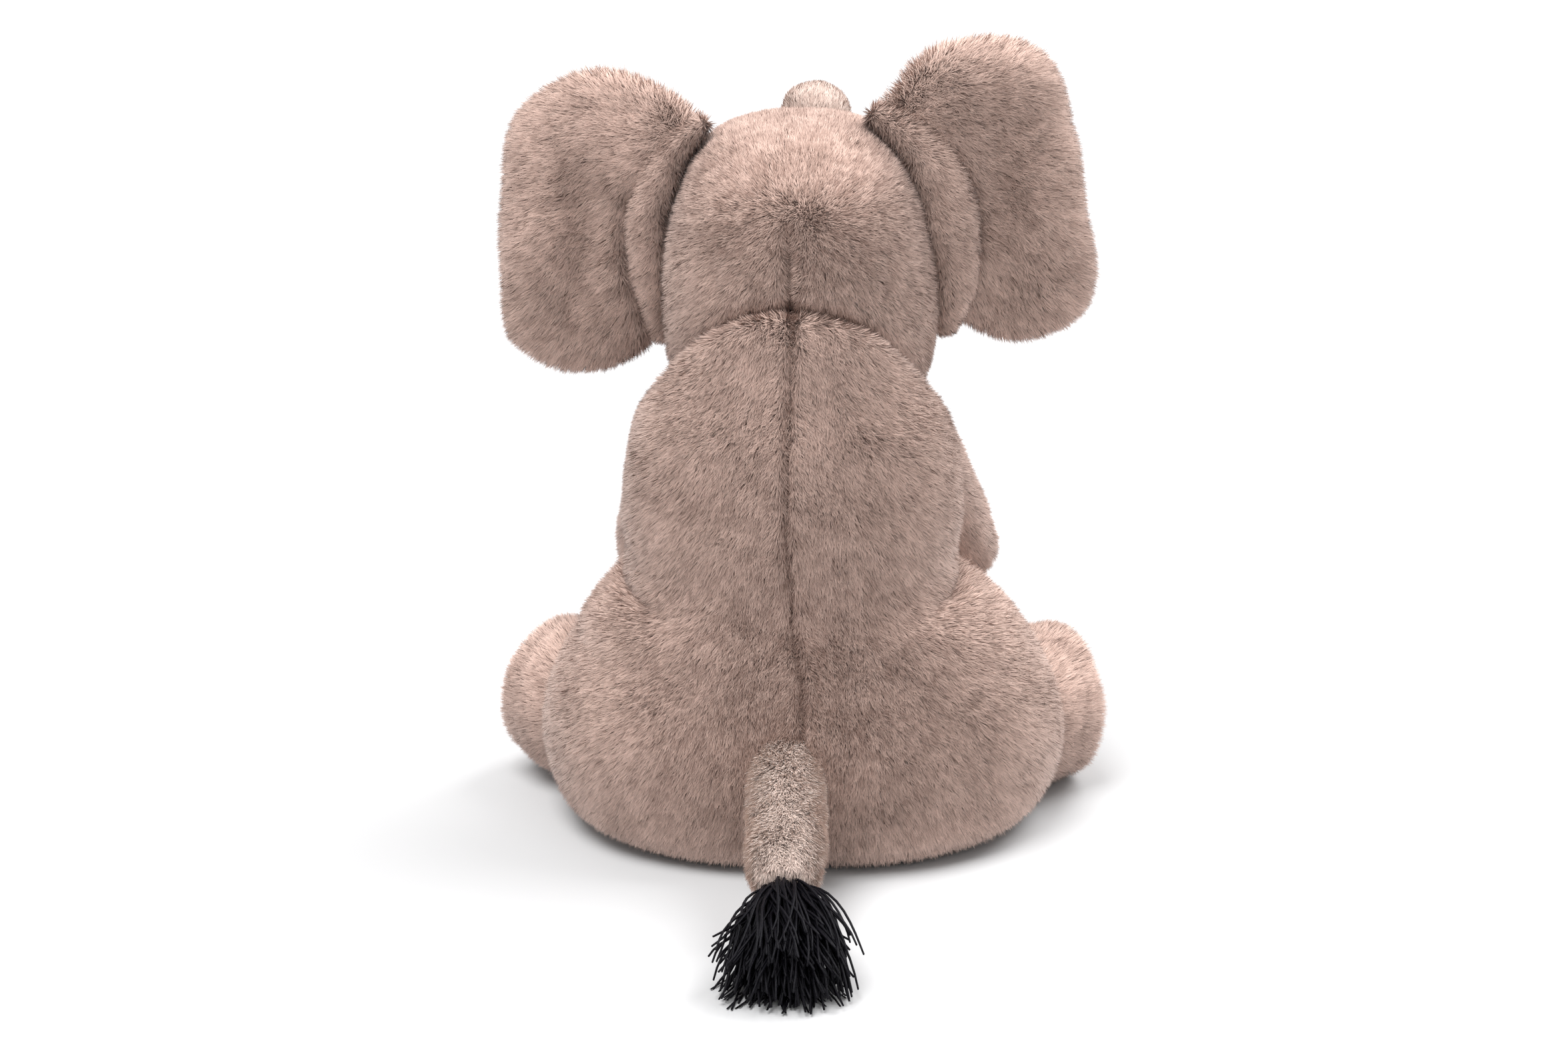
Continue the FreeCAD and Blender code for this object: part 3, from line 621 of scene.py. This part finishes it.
def make_leg(name, start, ahead, length, radii, end_depth, nodes):
    """A stuffed leg with its sole. The leg's pile lies towards the foot."""
    ahead = ahead.normalized()
    spine = [start + ahead * (length * s) for s in LEG_STEPS]
    leg, core, way = bent_tube(name + "_skin", spine, radii, 56, 104, ends=(0.7, end_depth))
    share = comb_along(leg, core, way)
    place = points_of(leg)
    out = normals_of(leg)
    rim = np.exp(-(((share - 0.94) / 0.03) ** 2)) * np.clip(share * 10 - 8, 0, 1)
    relief = hollows(place, 0.03, len(name)) * 1.0 - 0.8 * rim
    place += out * (relief * MM)[:, None]
    place[:, 2] = np.maximum(place[:, 2], 1.0 * MM)
    move_points(leg, place)
    paler_foot = -0.08 + 0.05 * np.clip(share * 1.6 - 0.7, 0, 1)
    mark(leg, "shade", "FLOAT", "POINT", paler_foot.astype(np.float32))
    cover(leg)
    band = (start * MM, (start + ahead * min(30, length * 0.45)) * MM)
    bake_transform(leg, "torso", name, *band)
    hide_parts(*nodes[:3])
    tip = np.array(start + ahead * length)
    side = np.cross(np.array(ahead), (0, 0, 1.0))
    side /= np.linalg.norm(side)
    deep = np.cross(np.array(ahead), side)
    size = radii[-1]
    rings = [dressed_ring((tip + np.array(ahead) * size * (h * end_depth)) * MM, side, deep,
                          size * r * MM, size * r * MM, 72) for r, h in PAD_PROFILE]
    sole = closed_skin(name + "_sole_pad", np.array(rings))
    spots = points_of(sole)
    spots += normals_of(sole) * (hollows(spots, 0.018, 40 + len(name)) * 0.5 * MM)[:, None]
    spots[:, 2] = np.maximum(spots[:, 2], 0.6 * MM)
    move_points(sole, spots)
    sole.data.materials.append(suede)
    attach(sole, name)
    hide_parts(nodes[3])
    return leg, band, sole


legs = {}
for side, sign in SIDES.items():
    splay = math.radians(FRONT_SPLAY[side])
    lean = math.radians(FRONT_FORWARD)
    forward = -math.cos(splay)
    ahead = Vector((sign * math.sin(splay), forward * math.sin(lean), forward * math.cos(lean)))
    nodes = ["front_leg_" + part + side for part in ("outer_", "inner_", "stuffing_", "sole_")]
    legs["front_leg_" + side] = make_leg(
        "front_leg_" + side, Vector((sign * 42, -30, 132)), ahead, FRONT_LENGTH, FRONT_RADII, 0.35, nodes)

# ---- Hind legs ----
# Short thick legs of two plush panels on flat soles, stuffed, and stitched to the hips so that they
# lie out on the floor in front, toes up, as the toy sits.
HIND_SPLAY = {"left": 46, "right": 62}
HIND_LENGTH = {"left": 54, "right": 58}
HIND_RADII = [22, 24, 25.5, 27, 28, 26]
for side, sign in SIDES.items():
    splay = math.radians(HIND_SPLAY[side])
    ahead = Vector((sign * math.sin(splay), -math.cos(splay), 0.0))
    nodes = ["hind_leg_" + part + side for part in ("upper_", "under_", "stuffing_", "sole_")]
    legs["hind_leg_" + side] = make_leg(
        "hind_leg_" + side, Vector((sign * 50, -4, 29.5)), ahead, HIND_LENGTH[side], HIND_RADII, 0.25,
        nodes)

# ---- Tail ----
# One narrow panel of short pile folded lengthwise, seamed underneath and softly stuffed. It lies
# back and down to the floor, and its end is gathered and bound tightly round the yarn.
TAIL_ROOT = Vector((2, 54, 42))
TAIL_DROOP = math.radians(15)
TAIL_WAY = Vector((0, math.cos(TAIL_DROOP), -math.sin(TAIL_DROOP)))
TAIL_STEPS = (-14, 0, 16, 32, 48, 63, 73)
TAIL_RADII = [10.5, 11.5, 12, 12.3, 12.3, 11.6, 9.5]
spine = [TAIL_ROOT + TAIL_WAY * s + Vector((0.3 * math.sin(s / 9), 0, 0)) for s in TAIL_STEPS]
tail, core, ahead = bent_tube("tail_skin", spine, TAIL_RADII, 72, 88, ends=(0.6, 0.45))
share = comb_along(tail, core, ahead)
place = points_of(tail)
out = normals_of(tail)
puckers = np.clip(np.sin(share * 70 + hollows(place, 0.02, 31)), 0, 1)
gathers = np.sin(np.arctan2(out[:, 2], out[:, 0]) * 9) * np.clip(share * 8 - 7, 0, 1)
place += out * ((hollows(place, 0.02, 30) * 0.5 - 0.5 * puckers - 0.8 * gathers) * MM)[:, None]
place[:, 2] = np.maximum(place[:, 2], 2.0 * MM)
move_points(tail, place)
# Painted light: the tail's pile is lifted lighter overall, with painted shade in its puckers.
mark(tail, "shade", "FLOAT", "POINT", (0.30 - 0.10 * puckers).astype(np.float32))
cover(tail)
TAIL_BAND = (TAIL_ROOT * MM, (TAIL_ROOT + TAIL_WAY * 26) * MM)
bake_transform(tail, "torso", "tail", *TAIL_BAND)
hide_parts("tail_panel", "tail_stuffing")
refinish("tuft_binding", thread)

# ---- Tail tuft ----
# A hank of near-black acrylic yarn, bound in the middle of the tail's end and cut to one length.
# The cut strands splay into a fan and droop on to the floor.
TUFT_STRANDS = 600
TUFT_ROOT = TAIL_ROOT + TAIL_WAY * 75


def strand_mesh(name, length, radius, sides, segments, sway):
    """A short round strand along +Z with a slow sway, tapered a little at its cut end."""
    rings = []
    for i in range(segments + 1):
        t = i / segments
        spot = np.array([sway * math.sin(t * 3.0), sway * 0.6 * math.sin(t * 5.0), t]) * length
        rings.append(dressed_ring(spot, np.array((1.0, 0, 0)), np.array((0, 1.0, 0)),
                                  radius * (1 - 0.25 * t**4), radius * (1 - 0.25 * t**4), sides))
    return closed_skin(name, np.array(rings))


def new_tree(name, inputs):
    """A geometry tree with named inputs; returns it with its input sockets by name."""
    tree = bpy.data.node_groups.new(name, "GeometryNodeTree")
    tree.interface.new_socket("Geometry", in_out="INPUT", socket_type="NodeSocketGeometry")
    tree.interface.new_socket("Geometry", in_out="OUTPUT", socket_type="NodeSocketGeometry")
    for key, kind in inputs.items():
        tree.interface.new_socket(key, in_out="INPUT", socket_type="NodeSocket" + kind)
    start = tree.nodes.new("NodeGroupInput")
    return tree, {socket.name: socket for socket in start.outputs if socket.name}


def finish_tree(tree, geometry):
    end = tree.nodes.new("NodeGroupOutput")
    tree.links.new(geometry, end.inputs[0])


def grow(name, mesh, tree, values):
    """Runs a geometry tree on a mesh with the given inputs and returns its result as a plain piece."""
    holder = bpy.data.objects.new(name + "_holder", mesh)
    bpy.context.scene.collection.objects.link(holder)
    step = holder.modifiers.new("grow", "NODES")
    step.node_group = tree
    for item in tree.interface.items_tree:
        if item.in_out == "INPUT" and item.name in values:
            step[item.identifier] = values[item.name]
    ready = holder.evaluated_get(bpy.context.evaluated_depsgraph_get())
    result = bpy.data.meshes.new_from_object(ready)
    bpy.data.objects.remove(holder)
    result.name = name
    piece = bpy.data.objects.new(name, result)
    bpy.context.scene.collection.objects.link(piece)
    return piece


def scatter(tree, kind, low, high, seed):
    """A random number or vector for each point, between low and high."""
    vector = kind == "FLOAT_VECTOR"
    node = wire(tree, "FunctionNodeRandomValue", data_type=kind)
    node.inputs[0 if vector else 2].default_value = low
    node.inputs[1 if vector else 3].default_value = high
    node.inputs["Seed"].default_value = seed
    return node.outputs[0 if vector else 1]


def vector_math(tree, operation, a, b=None, scale=None):
    node = wire(tree, "ShaderNodeVectorMath", {0: a}, operation=operation)
    if b is not None:
        if isinstance(b, bpy.types.NodeSocket):
            tree.links.new(b, node.inputs[1])
        else:
            node.inputs[1].default_value = b
    if scale is not None:
        if isinstance(scale, bpy.types.NodeSocket):
            tree.links.new(scale, node.inputs["Scale"])
        else:
            node.inputs["Scale"].default_value = scale
    return node.outputs["Value" if operation in ("LENGTH", "DOT_PRODUCT") else "Vector"]


def number(tree, operation, a, b=0.0, c=0.0):
    return wire(tree, "ShaderNodeMath", {0: a, 1: b, 2: c}, operation=operation).outputs[0]


tree, given = new_tree("yarn_fan", {
    "Strand": "Object", "Strands": "Float", "Spread": "Float", "Droop": "Float", "Material": "Material"})
points = wire(tree, "GeometryNodeDistributePointsOnFaces", {
    "Mesh": given["Geometry"], "Density": given["Strands"], "Seed": 4}, distribute_method="RANDOM")
spot = wire(tree, "GeometryNodeInputPosition").outputs[0]
from_root = vector_math(tree, "SUBTRACT", spot, tuple(TUFT_ROOT * MM))
fan = vector_math(tree, "MULTIPLY", from_root, (1.0, 0.0, 0.75))
fan = vector_math(tree, "SCALE", fan, scale=given["Spread"])
loose = scatter(tree, "FLOAT_VECTOR", (-0.40, -0.1, -0.25), (0.40, 0.1, 0.35), 2)
way = vector_math(tree, "ADD", vector_math(tree, "ADD", fan, loose), tuple(TAIL_WAY))
twist = scatter(tree, "FLOAT_VECTOR", (-1, -1, -1), (1, 1, 1), 3)
turn = wire(tree, "FunctionNodeAxesToRotation", {"Primary Axis": way, "Secondary Axis": twist},
            primary_axis="Z", secondary_axis="X")
strand = wire(tree, "GeometryNodeObjectInfo", {"Object": given["Strand"]}).outputs["Geometry"]
off_middle = number(tree, "ABSOLUTE", wire(tree, "ShaderNodeSeparateXYZ", {0: from_root}).outputs[0])
cut = number(tree, "MULTIPLY_ADD", off_middle, -50.0, scatter(tree, "FLOAT", 0.92, 1.2, 5))
lengths = wire(tree, "ShaderNodeCombineXYZ", {0: 1.0, 1: 1.0, 2: cut}).outputs[0]
placed = wire(tree, "GeometryNodeInstanceOnPoints", {
    "Points": points.outputs["Points"], "Instance": strand, "Rotation": turn.outputs[0], "Scale": lengths})
real = wire(tree, "GeometryNodeRealizeInstances", {"Geometry": placed.outputs[0]}).outputs[0]
reach = vector_math(tree, "LENGTH", vector_math(tree, "SUBTRACT", spot, tuple(TUFT_ROOT * MM)))
sag = number(tree, "MULTIPLY", number(tree, "MULTIPLY", reach, reach), given["Droop"])
parts = wire(tree, "ShaderNodeSeparateXYZ", {0: spot})
lowered = number(tree, "SUBTRACT", parts.outputs[2], sag)
hanging = number(tree, "MAXIMUM", parts.outputs[2], -0.003)
rest_height = number(tree, "ADD", number(tree, "MULTIPLY", hanging, 0.10), 0.0006)
settled = number(tree, "SMOOTH_MAX", lowered, rest_height, 0.004)
moved = wire(tree, "ShaderNodeCombineXYZ", {
    0: parts.outputs[0], 1: parts.outputs[1], 2: settled}).outputs[0]
draped = wire(tree, "GeometryNodeSetPosition", {"Geometry": real, "Position": moved}).outputs[0]
finish_tree(tree, wire(tree, "GeometryNodeSetMaterial", {
    "Geometry": draped, "Material": given["Material"]}).outputs[0])

yarn, yarn_tree, shader = new_material("black_yarn", Roughness=0.5, Specular_IOR_Level=0.12)
fleck = surface_pattern(yarn_tree, {"Scale": 900.0, "Detail": 4.0})
two_tones(yarn_tree, shader, fleck.outputs[0], (0.001, 0.001, 0.002, 1), (0.006, 0.005, 0.008, 1))
relief_of(yarn_tree, shader, fleck.outputs[0], 0.7, 0.0004)

side = np.array((1.0, 0, 0))
deep = np.cross(np.array(TAIL_WAY), side)
hank = closed_skin("hank", np.array([
    dressed_ring(np.array(TUFT_ROOT - TAIL_WAY * 2) * MM, side, deep, 5 * MM, 4 * MM, 16),
    dressed_ring(np.array(TUFT_ROOT + TAIL_WAY * 2) * MM, side, deep, 7.5 * MM, 5.5 * MM, 16)]))
hank_area = sum(face.area for face in hank.data.polygons)
one_strand = strand_mesh("yarn_strand", 0.044, 0.0005, 5, 9, 0.08)
tuft = grow("tail_yarn_tuft", hank.data, tree, {
    "Strand": one_strand, "Strands": TUFT_STRANDS / hank_area, "Spread": 36.0, "Droop": 4.5,
    "Material": yarn})
bpy.data.objects.remove(hank)
bpy.data.objects.remove(one_strand)
tuft.data.shade_smooth()
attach(tuft, "tail")
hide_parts("tail_tuft")

# ---- Pile ----
# The plush's cut pile: fine curled fibres stand out of the backing, lie the way each panel was
# brushed, and clump into soft locks. Trunk, tail and feet are trimmed shorter and look lighter.


def pile_group():
    """Shader group: a fibre's colour from its own tone, across, and its height from root to tip, with
    painted shade towards the root.
    """
    group = bpy.data.node_groups.new("pile_tones", "ShaderNodeTree")
    for key in ("Dark", "Light"):
        group.interface.new_socket(key, in_out="INPUT", socket_type="NodeSocketColor")
    group.interface.new_socket("Color", in_out="OUTPUT", socket_type="NodeSocketColor")
    given = group.nodes.new("NodeGroupInput")
    end = group.nodes.new("NodeGroupOutput")
    where = wire(group, "ShaderNodeUVMap", uv_map="OFBake").outputs[0]
    parts = wire(group, "ShaderNodeSeparateXYZ", {0: where})
    tone = wire(group, "ShaderNodeMix", {0: parts.outputs[0], 6: given.outputs[0], 7: given.outputs[1]},
                data_type="RGBA")
    # Darker towards the root: painted shade deep in the pile.
    height = wire(group, "ShaderNodeMapRange", {
        "Value": parts.outputs[1], "From Min": 0.0, "From Max": 0.8, "To Min": 0.55, "To Max": 1.0})
    painted_root_shade = wire(group, "ShaderNodeVectorMath", {0: tone.outputs[2]}, operation="SCALE")
    group.links.new(height.outputs[0], painted_root_shade.inputs["Scale"])
    group.links.new(painted_root_shade.outputs[0], end.inputs[0])
    return group


pile_tones = pile_group()


def pile_material(name, dark, light):
    material, tree, shader = new_material(name, Roughness=0.85, Sheen_Weight=0.2, Specular_IOR_Level=0.25)
    tones = wire(tree, "ShaderNodeGroup", node_tree=pile_tones)
    tones.inputs["Dark"].default_value = dark
    tones.inputs["Light"].default_value = light
    tree.links.new(tones.outputs[0], shader.inputs["Base Color"])
    return material


long_pile = pile_material("plush_pile", (0.37, 0.235, 0.19, 1), (0.94, 0.685, 0.585, 1))
short_pile = pile_material("short_plush_pile", (0.54, 0.39, 0.33, 1), (1.0, 0.82, 0.73, 1))

FIBRE_WIDTH = 0.36  # at the root, in mm
# One fibre: a fine flat blade that comes to a point, facing +X, along +Z, one unit long.
fibre_mesh = bpy.data.meshes.new("fibre")
fibre_mesh.from_pydata(
    [(0, -0.5, 0), (0, 0.5, 0), (-0.06, 0, 1)], [], [(0, 1, 2)])
fibre_mesh.attributes.new("along", "FLOAT", "POINT").data.foreach_set("value", [0, 0, 1])
fibre_mesh.attributes.new("side", "FLOAT", "POINT").data.foreach_set("value", [-1, 1, 0])
fibre = bpy.data.objects.new("fibre", fibre_mesh)
bpy.context.scene.collection.objects.link(fibre)

tree, given = new_tree("pile", {
    "Fibre": "Object", "Panel": "Int", "Density": "Float", "Length": "Float", "Width": "Float",
    "Lean": "Float", "Lock Size": "Float", "Lock Pull": "Float", "Material": "Material"})


def stored(name, kind):
    return wire(tree, "GeometryNodeInputNamedAttribute", {"Name": name}, data_type=kind).outputs[0]


on_panel = wire(tree, "FunctionNodeCompare", {2: stored("panel", "INT"), 3: given["Panel"]},
                data_type="INT", operation="EQUAL").outputs[0]
thick = number(tree, "MULTIPLY", given["Density"], stored("grow", "FLOAT"))
points = wire(tree, "GeometryNodeDistributePointsOnFaces", {
    "Mesh": given["Geometry"], "Selection": on_panel, "Density": thick, "Seed": 11},
    distribute_method="RANDOM").outputs["Points"]
spot = wire(tree, "GeometryNodeInputPosition").outputs[0]
lock_scale = number(tree, "DIVIDE", 1.0, given["Lock Size"])
warp = wire(tree, "ShaderNodeTexNoise", {"Vector": spot, "Scale": 120.0, "Detail": 2.0}).outputs[1]
warp = vector_math(tree, "SUBTRACT", warp, (0.5, 0.5, 0.5))
warped = vector_math(tree, "ADD", spot, vector_math(tree, "SCALE", warp, scale=0.005))
locks = wire(tree, "ShaderNodeTexVoronoi", {"Vector": warped, "Scale": lock_scale})
pull = vector_math(tree, "SUBTRACT", locks.outputs["Position"], warped)
pull = vector_math(tree, "SCALE", pull, scale=number(tree, "DIVIDE", given["Lock Pull"], given["Length"]))
drift = wire(tree, "ShaderNodeTexNoise", {"Vector": spot, "Scale": 55.0, "Detail": 3.0})
sway = vector_math(tree, "SUBTRACT", drift.outputs[1], (0.5, 0.5, 0.5))
sway = vector_math(tree, "SCALE", sway, scale=0.9)
stray = scatter(tree, "FLOAT_VECTOR", (-0.28, -0.28, -0.28), (0.28, 0.28, 0.28), 21)
combed = vector_math(tree, "SCALE", stored("comb", "FLOAT_VECTOR"), scale=number(
    tree, "SINE", given["Lean"]))
lifted = vector_math(tree, "SCALE", stored("out", "FLOAT_VECTOR"), scale=number(
    tree, "COSINE", given["Lean"]))
way = lifted
for part in (combed, pull, sway, stray):
    way = vector_math(tree, "ADD", way, part)
way = vector_math(tree, "NORMALIZE", way)
facing = vector_math(tree, "ADD", stored("out", "FLOAT_VECTOR"), scatter(
    tree, "FLOAT_VECTOR", (-0.6, -0.6, -0.6), (0.6, 0.6, 0.6), 22))
turn = wire(tree, "FunctionNodeAxesToRotation", {"Primary Axis": way, "Secondary Axis": facing},
            primary_axis="Z", secondary_axis="X").outputs[0]
lock_tone = wire(tree, "ShaderNodeSeparateXYZ", {0: locks.outputs["Color"]}).outputs[0]
# Each fibre's tone starts from the skin's shade marks, which carry painted light and shade among the pieces'
# own tones, then drifts and varies by lock and at random.
tone = number(tree, "ADD", 0.31, stored("shade", "FLOAT"))
tone = number(tree, "MULTIPLY_ADD", drift.outputs[0], 0.42, tone)
tone = number(tree, "MULTIPLY_ADD", lock_tone, 0.42, tone)
tone = number(tree, "ADD", tone, scatter(tree, "FLOAT", -0.42, 0.26, 23))
tone = wire(tree, "ShaderNodeClamp", {"Value": tone, "Min": 0.03, "Max": 0.97}).outputs[0]
points = wire(tree, "GeometryNodeStoreNamedAttribute", {"Geometry": points, "Name": "tone", "Value": tone},
              data_type="FLOAT", domain="POINT").outputs[0]
soft = vector_math(tree, "ADD", stored("out", "FLOAT_VECTOR"), vector_math(tree, "SCALE", way, scale=0.55))
points = wire(tree, "GeometryNodeStoreNamedAttribute", {
    "Geometry": points, "Name": "soft", "Value": vector_math(tree, "NORMALIZE", soft)},
    data_type="FLOAT_VECTOR", domain="POINT").outputs[0]
tall = number(tree, "MULTIPLY", given["Length"], number(
    tree, "MULTIPLY", stored("trim", "FLOAT"), scatter(tree, "FLOAT", 0.72, 1.12, 24)))
size = wire(tree, "ShaderNodeCombineXYZ", {0: tall, 1: given["Width"], 2: tall}).outputs[0]
strand = wire(tree, "GeometryNodeObjectInfo", {"Object": given["Fibre"]}).outputs["Geometry"]
placed = wire(tree, "GeometryNodeInstanceOnPoints", {
    "Points": points, "Instance": strand, "Rotation": turn, "Scale": size}).outputs[0]
real = wire(tree, "GeometryNodeRealizeInstances", {"Geometry": placed}).outputs[0]
parts = wire(tree, "ShaderNodeSeparateXYZ", {0: spot})
floor_height = number(tree, "ADD", 0.0003, number(tree, "MULTIPLY", stored("along", "FLOAT"), 0.0002))
height = number(tree, "MAXIMUM", parts.outputs[2], floor_height)
lifted = wire(tree, "ShaderNodeCombineXYZ", {
    0: parts.outputs[0], 1: parts.outputs[1], 2: height}).outputs[0]
real = wire(tree, "GeometryNodeSetPosition", {"Geometry": real, "Position": lifted}).outputs[0]
across = number(tree, "MULTIPLY_ADD", stored("side", "FLOAT"), 0.008, stored("tone", "FLOAT"))
upward = number(tree, "MULTIPLY_ADD", stored("along", "FLOAT"), 0.94, 0.03)
sheet = wire(tree, "ShaderNodeCombineXYZ", {0: across, 1: upward}).outputs[0]
real = wire(tree, "GeometryNodeStoreNamedAttribute", {"Geometry": real, "Name": "OFBake", "Value": sheet},
            data_type="FLOAT2", domain="CORNER").outputs[0]
finish_tree(tree, wire(tree, "GeometryNodeSetMaterial", {
    "Geometry": real, "Material": given["Material"]}).outputs[0])
pile_tree = tree


def grow_pile(name, skin, panel, density, length, lean, lock, pull, material):
    """Grows one panel's pile and gives its fibres the skin's soft shading; density is per square mm."""
    piece = grow(name, skin.data, pile_tree, {
        "Fibre": fibre, "Panel": panel, "Density": density * 1e6, "Length": length * MM,
        "Width": FIBRE_WIDTH * MM, "Lean": math.radians(lean), "Lock Size": lock * MM, "Lock Pull": pull,
        "Material": material})
    mesh = piece.data
    soft = np.zeros(len(mesh.vertices) * 3, np.float32)
    mesh.attributes["soft"].data.foreach_get("vector", soft)
    keep = {"position", "OFBake", ".edge_verts", ".corner_vert", ".corner_edge", "material_index"}
    for extra in [a.name for a in mesh.attributes if a.name not in keep]:
        if not extra.startswith("."):
            mesh.attributes.remove(mesh.attributes[extra])
    mesh.shade_smooth()
    mesh.normals_split_custom_set_from_vertices(soft.reshape(-1, 3))
    return piece


def bare_where(skin, others, trims=(), pad=None):
    """Marks where pile can grow, off the parts buried in other pieces, and where it is trimmed short."""
    place = points_of(skin)
    free = np.ones(len(place))
    for other in others:
        free *= np.clip(1 - (buried(place, other) / MM - 0.5) / 3.0, 0, 1)
    if pad:
        under = buried(place, pad) / MM
        free *= np.where(under > 3.5, 1, np.clip(-under, 0, 1))
    shade = np.zeros(len(place), np.float32)
    skin.data.attributes["shade"].data.foreach_get("value", shade)
    trim = np.clip(1 + 1.4 * np.minimum(shade + 0.12, 0), 0.45, 1)
    for spot, radius, shortest in trims:
        gap = np.linalg.norm(place - np.array(spot), axis=1) / (radius * MM)
        trim = np.minimum(trim, np.clip(shortest + (1 - shortest) * (gap - 0.6) / 0.8, shortest, 1))
    mark(skin, "grow", "FLOAT", "POINT", free.astype(np.float32))
    mark(skin, "trim", "FLOAT", "POINT", trim.astype(np.float32))


leg_skins = [leg[0] for leg in legs.values()]
bare_where(torso, [head, tail] + leg_skins)
bare_where(head, [torso, trunk, ears["left"], ears["right"]],
           [(spot, 11, 0.25) for spot in eye_places.values()])
bare_where(trunk, [head])
bare_where(tail, [torso])
for side in SIDES:
    bare_where(ears[side], [head, ear_rolls[side]])
    bare_where(ear_rolls[side], [head, ears[side]])

for name, panel, density, length, lean in (
        ("back_pile_left", 2, 9.5, 4.8, 38), ("hip_pile_left", 3, 9.5, 4.8, 38),
        ("back_pile_right", 4, 9.5, 4.8, 38), ("hip_pile_right", 5, 9.5, 4.8, 38),
        ("belly_pile", 1, 4.5, 4.8, 38), ("seat_pile", 0, 2.6, 2.6, 60)):
    pile = grow_pile(name, torso, panel, density, length, lean, 2.8, 0.40, long_pile)
    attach(pile, "torso")
for name, panel, density in (("head_pile_back", 0, 9.5), ("head_pile_face", 1, 7.5)):
    pile = grow_pile(name, head, panel, density, 4.3, 34, 2.8, 0.40, long_pile)
    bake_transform(pile, "torso", "head", *NECK_BAND)
for side in SIDES:
    pile = grow_pile("ear_pile_" + side, ears[side], 0, 8.5, 5.6, 34, 3.4, 0.42, long_pile)
    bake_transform(pile, "head", "ear_" + side, *ear_bands[side])
    pile = grow_pile("ear_roll_pile_" + side, ear_rolls[side], 0, 9.0, 4.0, 40, 3.0, 0.3, long_pile)
    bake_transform(pile, "head", "ear_" + side, *ear_bands[side])
pile = grow_pile("trunk_pile", trunk, 0, 8.5, 3.8, 50, 2.8, 0.2, short_pile)
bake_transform(pile, "head", "trunk", *TRUNK_BAND)
pile = grow_pile("tail_pile", tail, 0, 11.0, 3.8, 54, 2.6, 0.18, short_pile)
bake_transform(pile, "torso", "tail", *TAIL_BAND)
for name, (leg, band, sole) in legs.items():
    bare_where(leg, [torso], pad=sole)
    pile = grow_pile(name + "_pile", leg, 0, 7.5, 4.6, 42, 3.2, 0.3, long_pile)
    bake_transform(pile, "torso", name, *band)
bpy.data.objects.remove(fibre)

# ---- Studio ----
# A plain white floor, two broad soft lights high on the toy's left and right, and an even surround.
floor_mesh = bpy.data.meshes.new("studio_floor")
floor_mesh.from_pydata([(-9, -9, 0), (9, -9, 0), (9, 9, 0), (-9, 9, 0)], [], [(0, 1, 2, 3)])
floor = bpy.data.objects.new("studio_floor", floor_mesh)
bpy.context.scene.collection.objects.link(floor)
white, tree, shader = new_material("studio_white", Roughness=0.7, Base_Color=(0.53, 0.53, 0.535, 1))
floor.data.materials.append(white)

world = bpy.data.worlds.new("studio_air")
world.use_nodes = True
world.node_tree.nodes["Background"].inputs["Color"].default_value = (1, 1, 1, 1)
world.node_tree.nodes["Background"].inputs["Strength"].default_value = 0.82
bpy.context.scene.world = world
for name, toward, strength in (("key", (0.30, 0.30, 1.0), 3.2), ("second", (-0.68, -0.36, 1.0), 2.6)):
    light = bpy.data.lights.new(name, "SUN")
    light.angle = 0.6
    light.energy = strength
    lamp = bpy.data.objects.new(name, light)
    lamp.rotation_euler = Vector(toward).to_track_quat("Z", "Y").to_euler()
    bpy.context.scene.collection.objects.link(lamp)

lens = bpy.data.cameras.new("camera")
lens.sensor_width = 36
lens.lens = 73.1
camera = bpy.data.objects.new("camera", lens)
camera.location = (0, 1.0997, 0.4762)
camera.rotation_euler = (camera.location - Vector((0.0028, 0, 0.1096))).to_track_quat("Z", "Y").to_euler()
bpy.context.scene.collection.objects.link(camera)
bpy.context.scene.camera = camera
bpy.context.scene.view_settings.view_transform = "Standard"
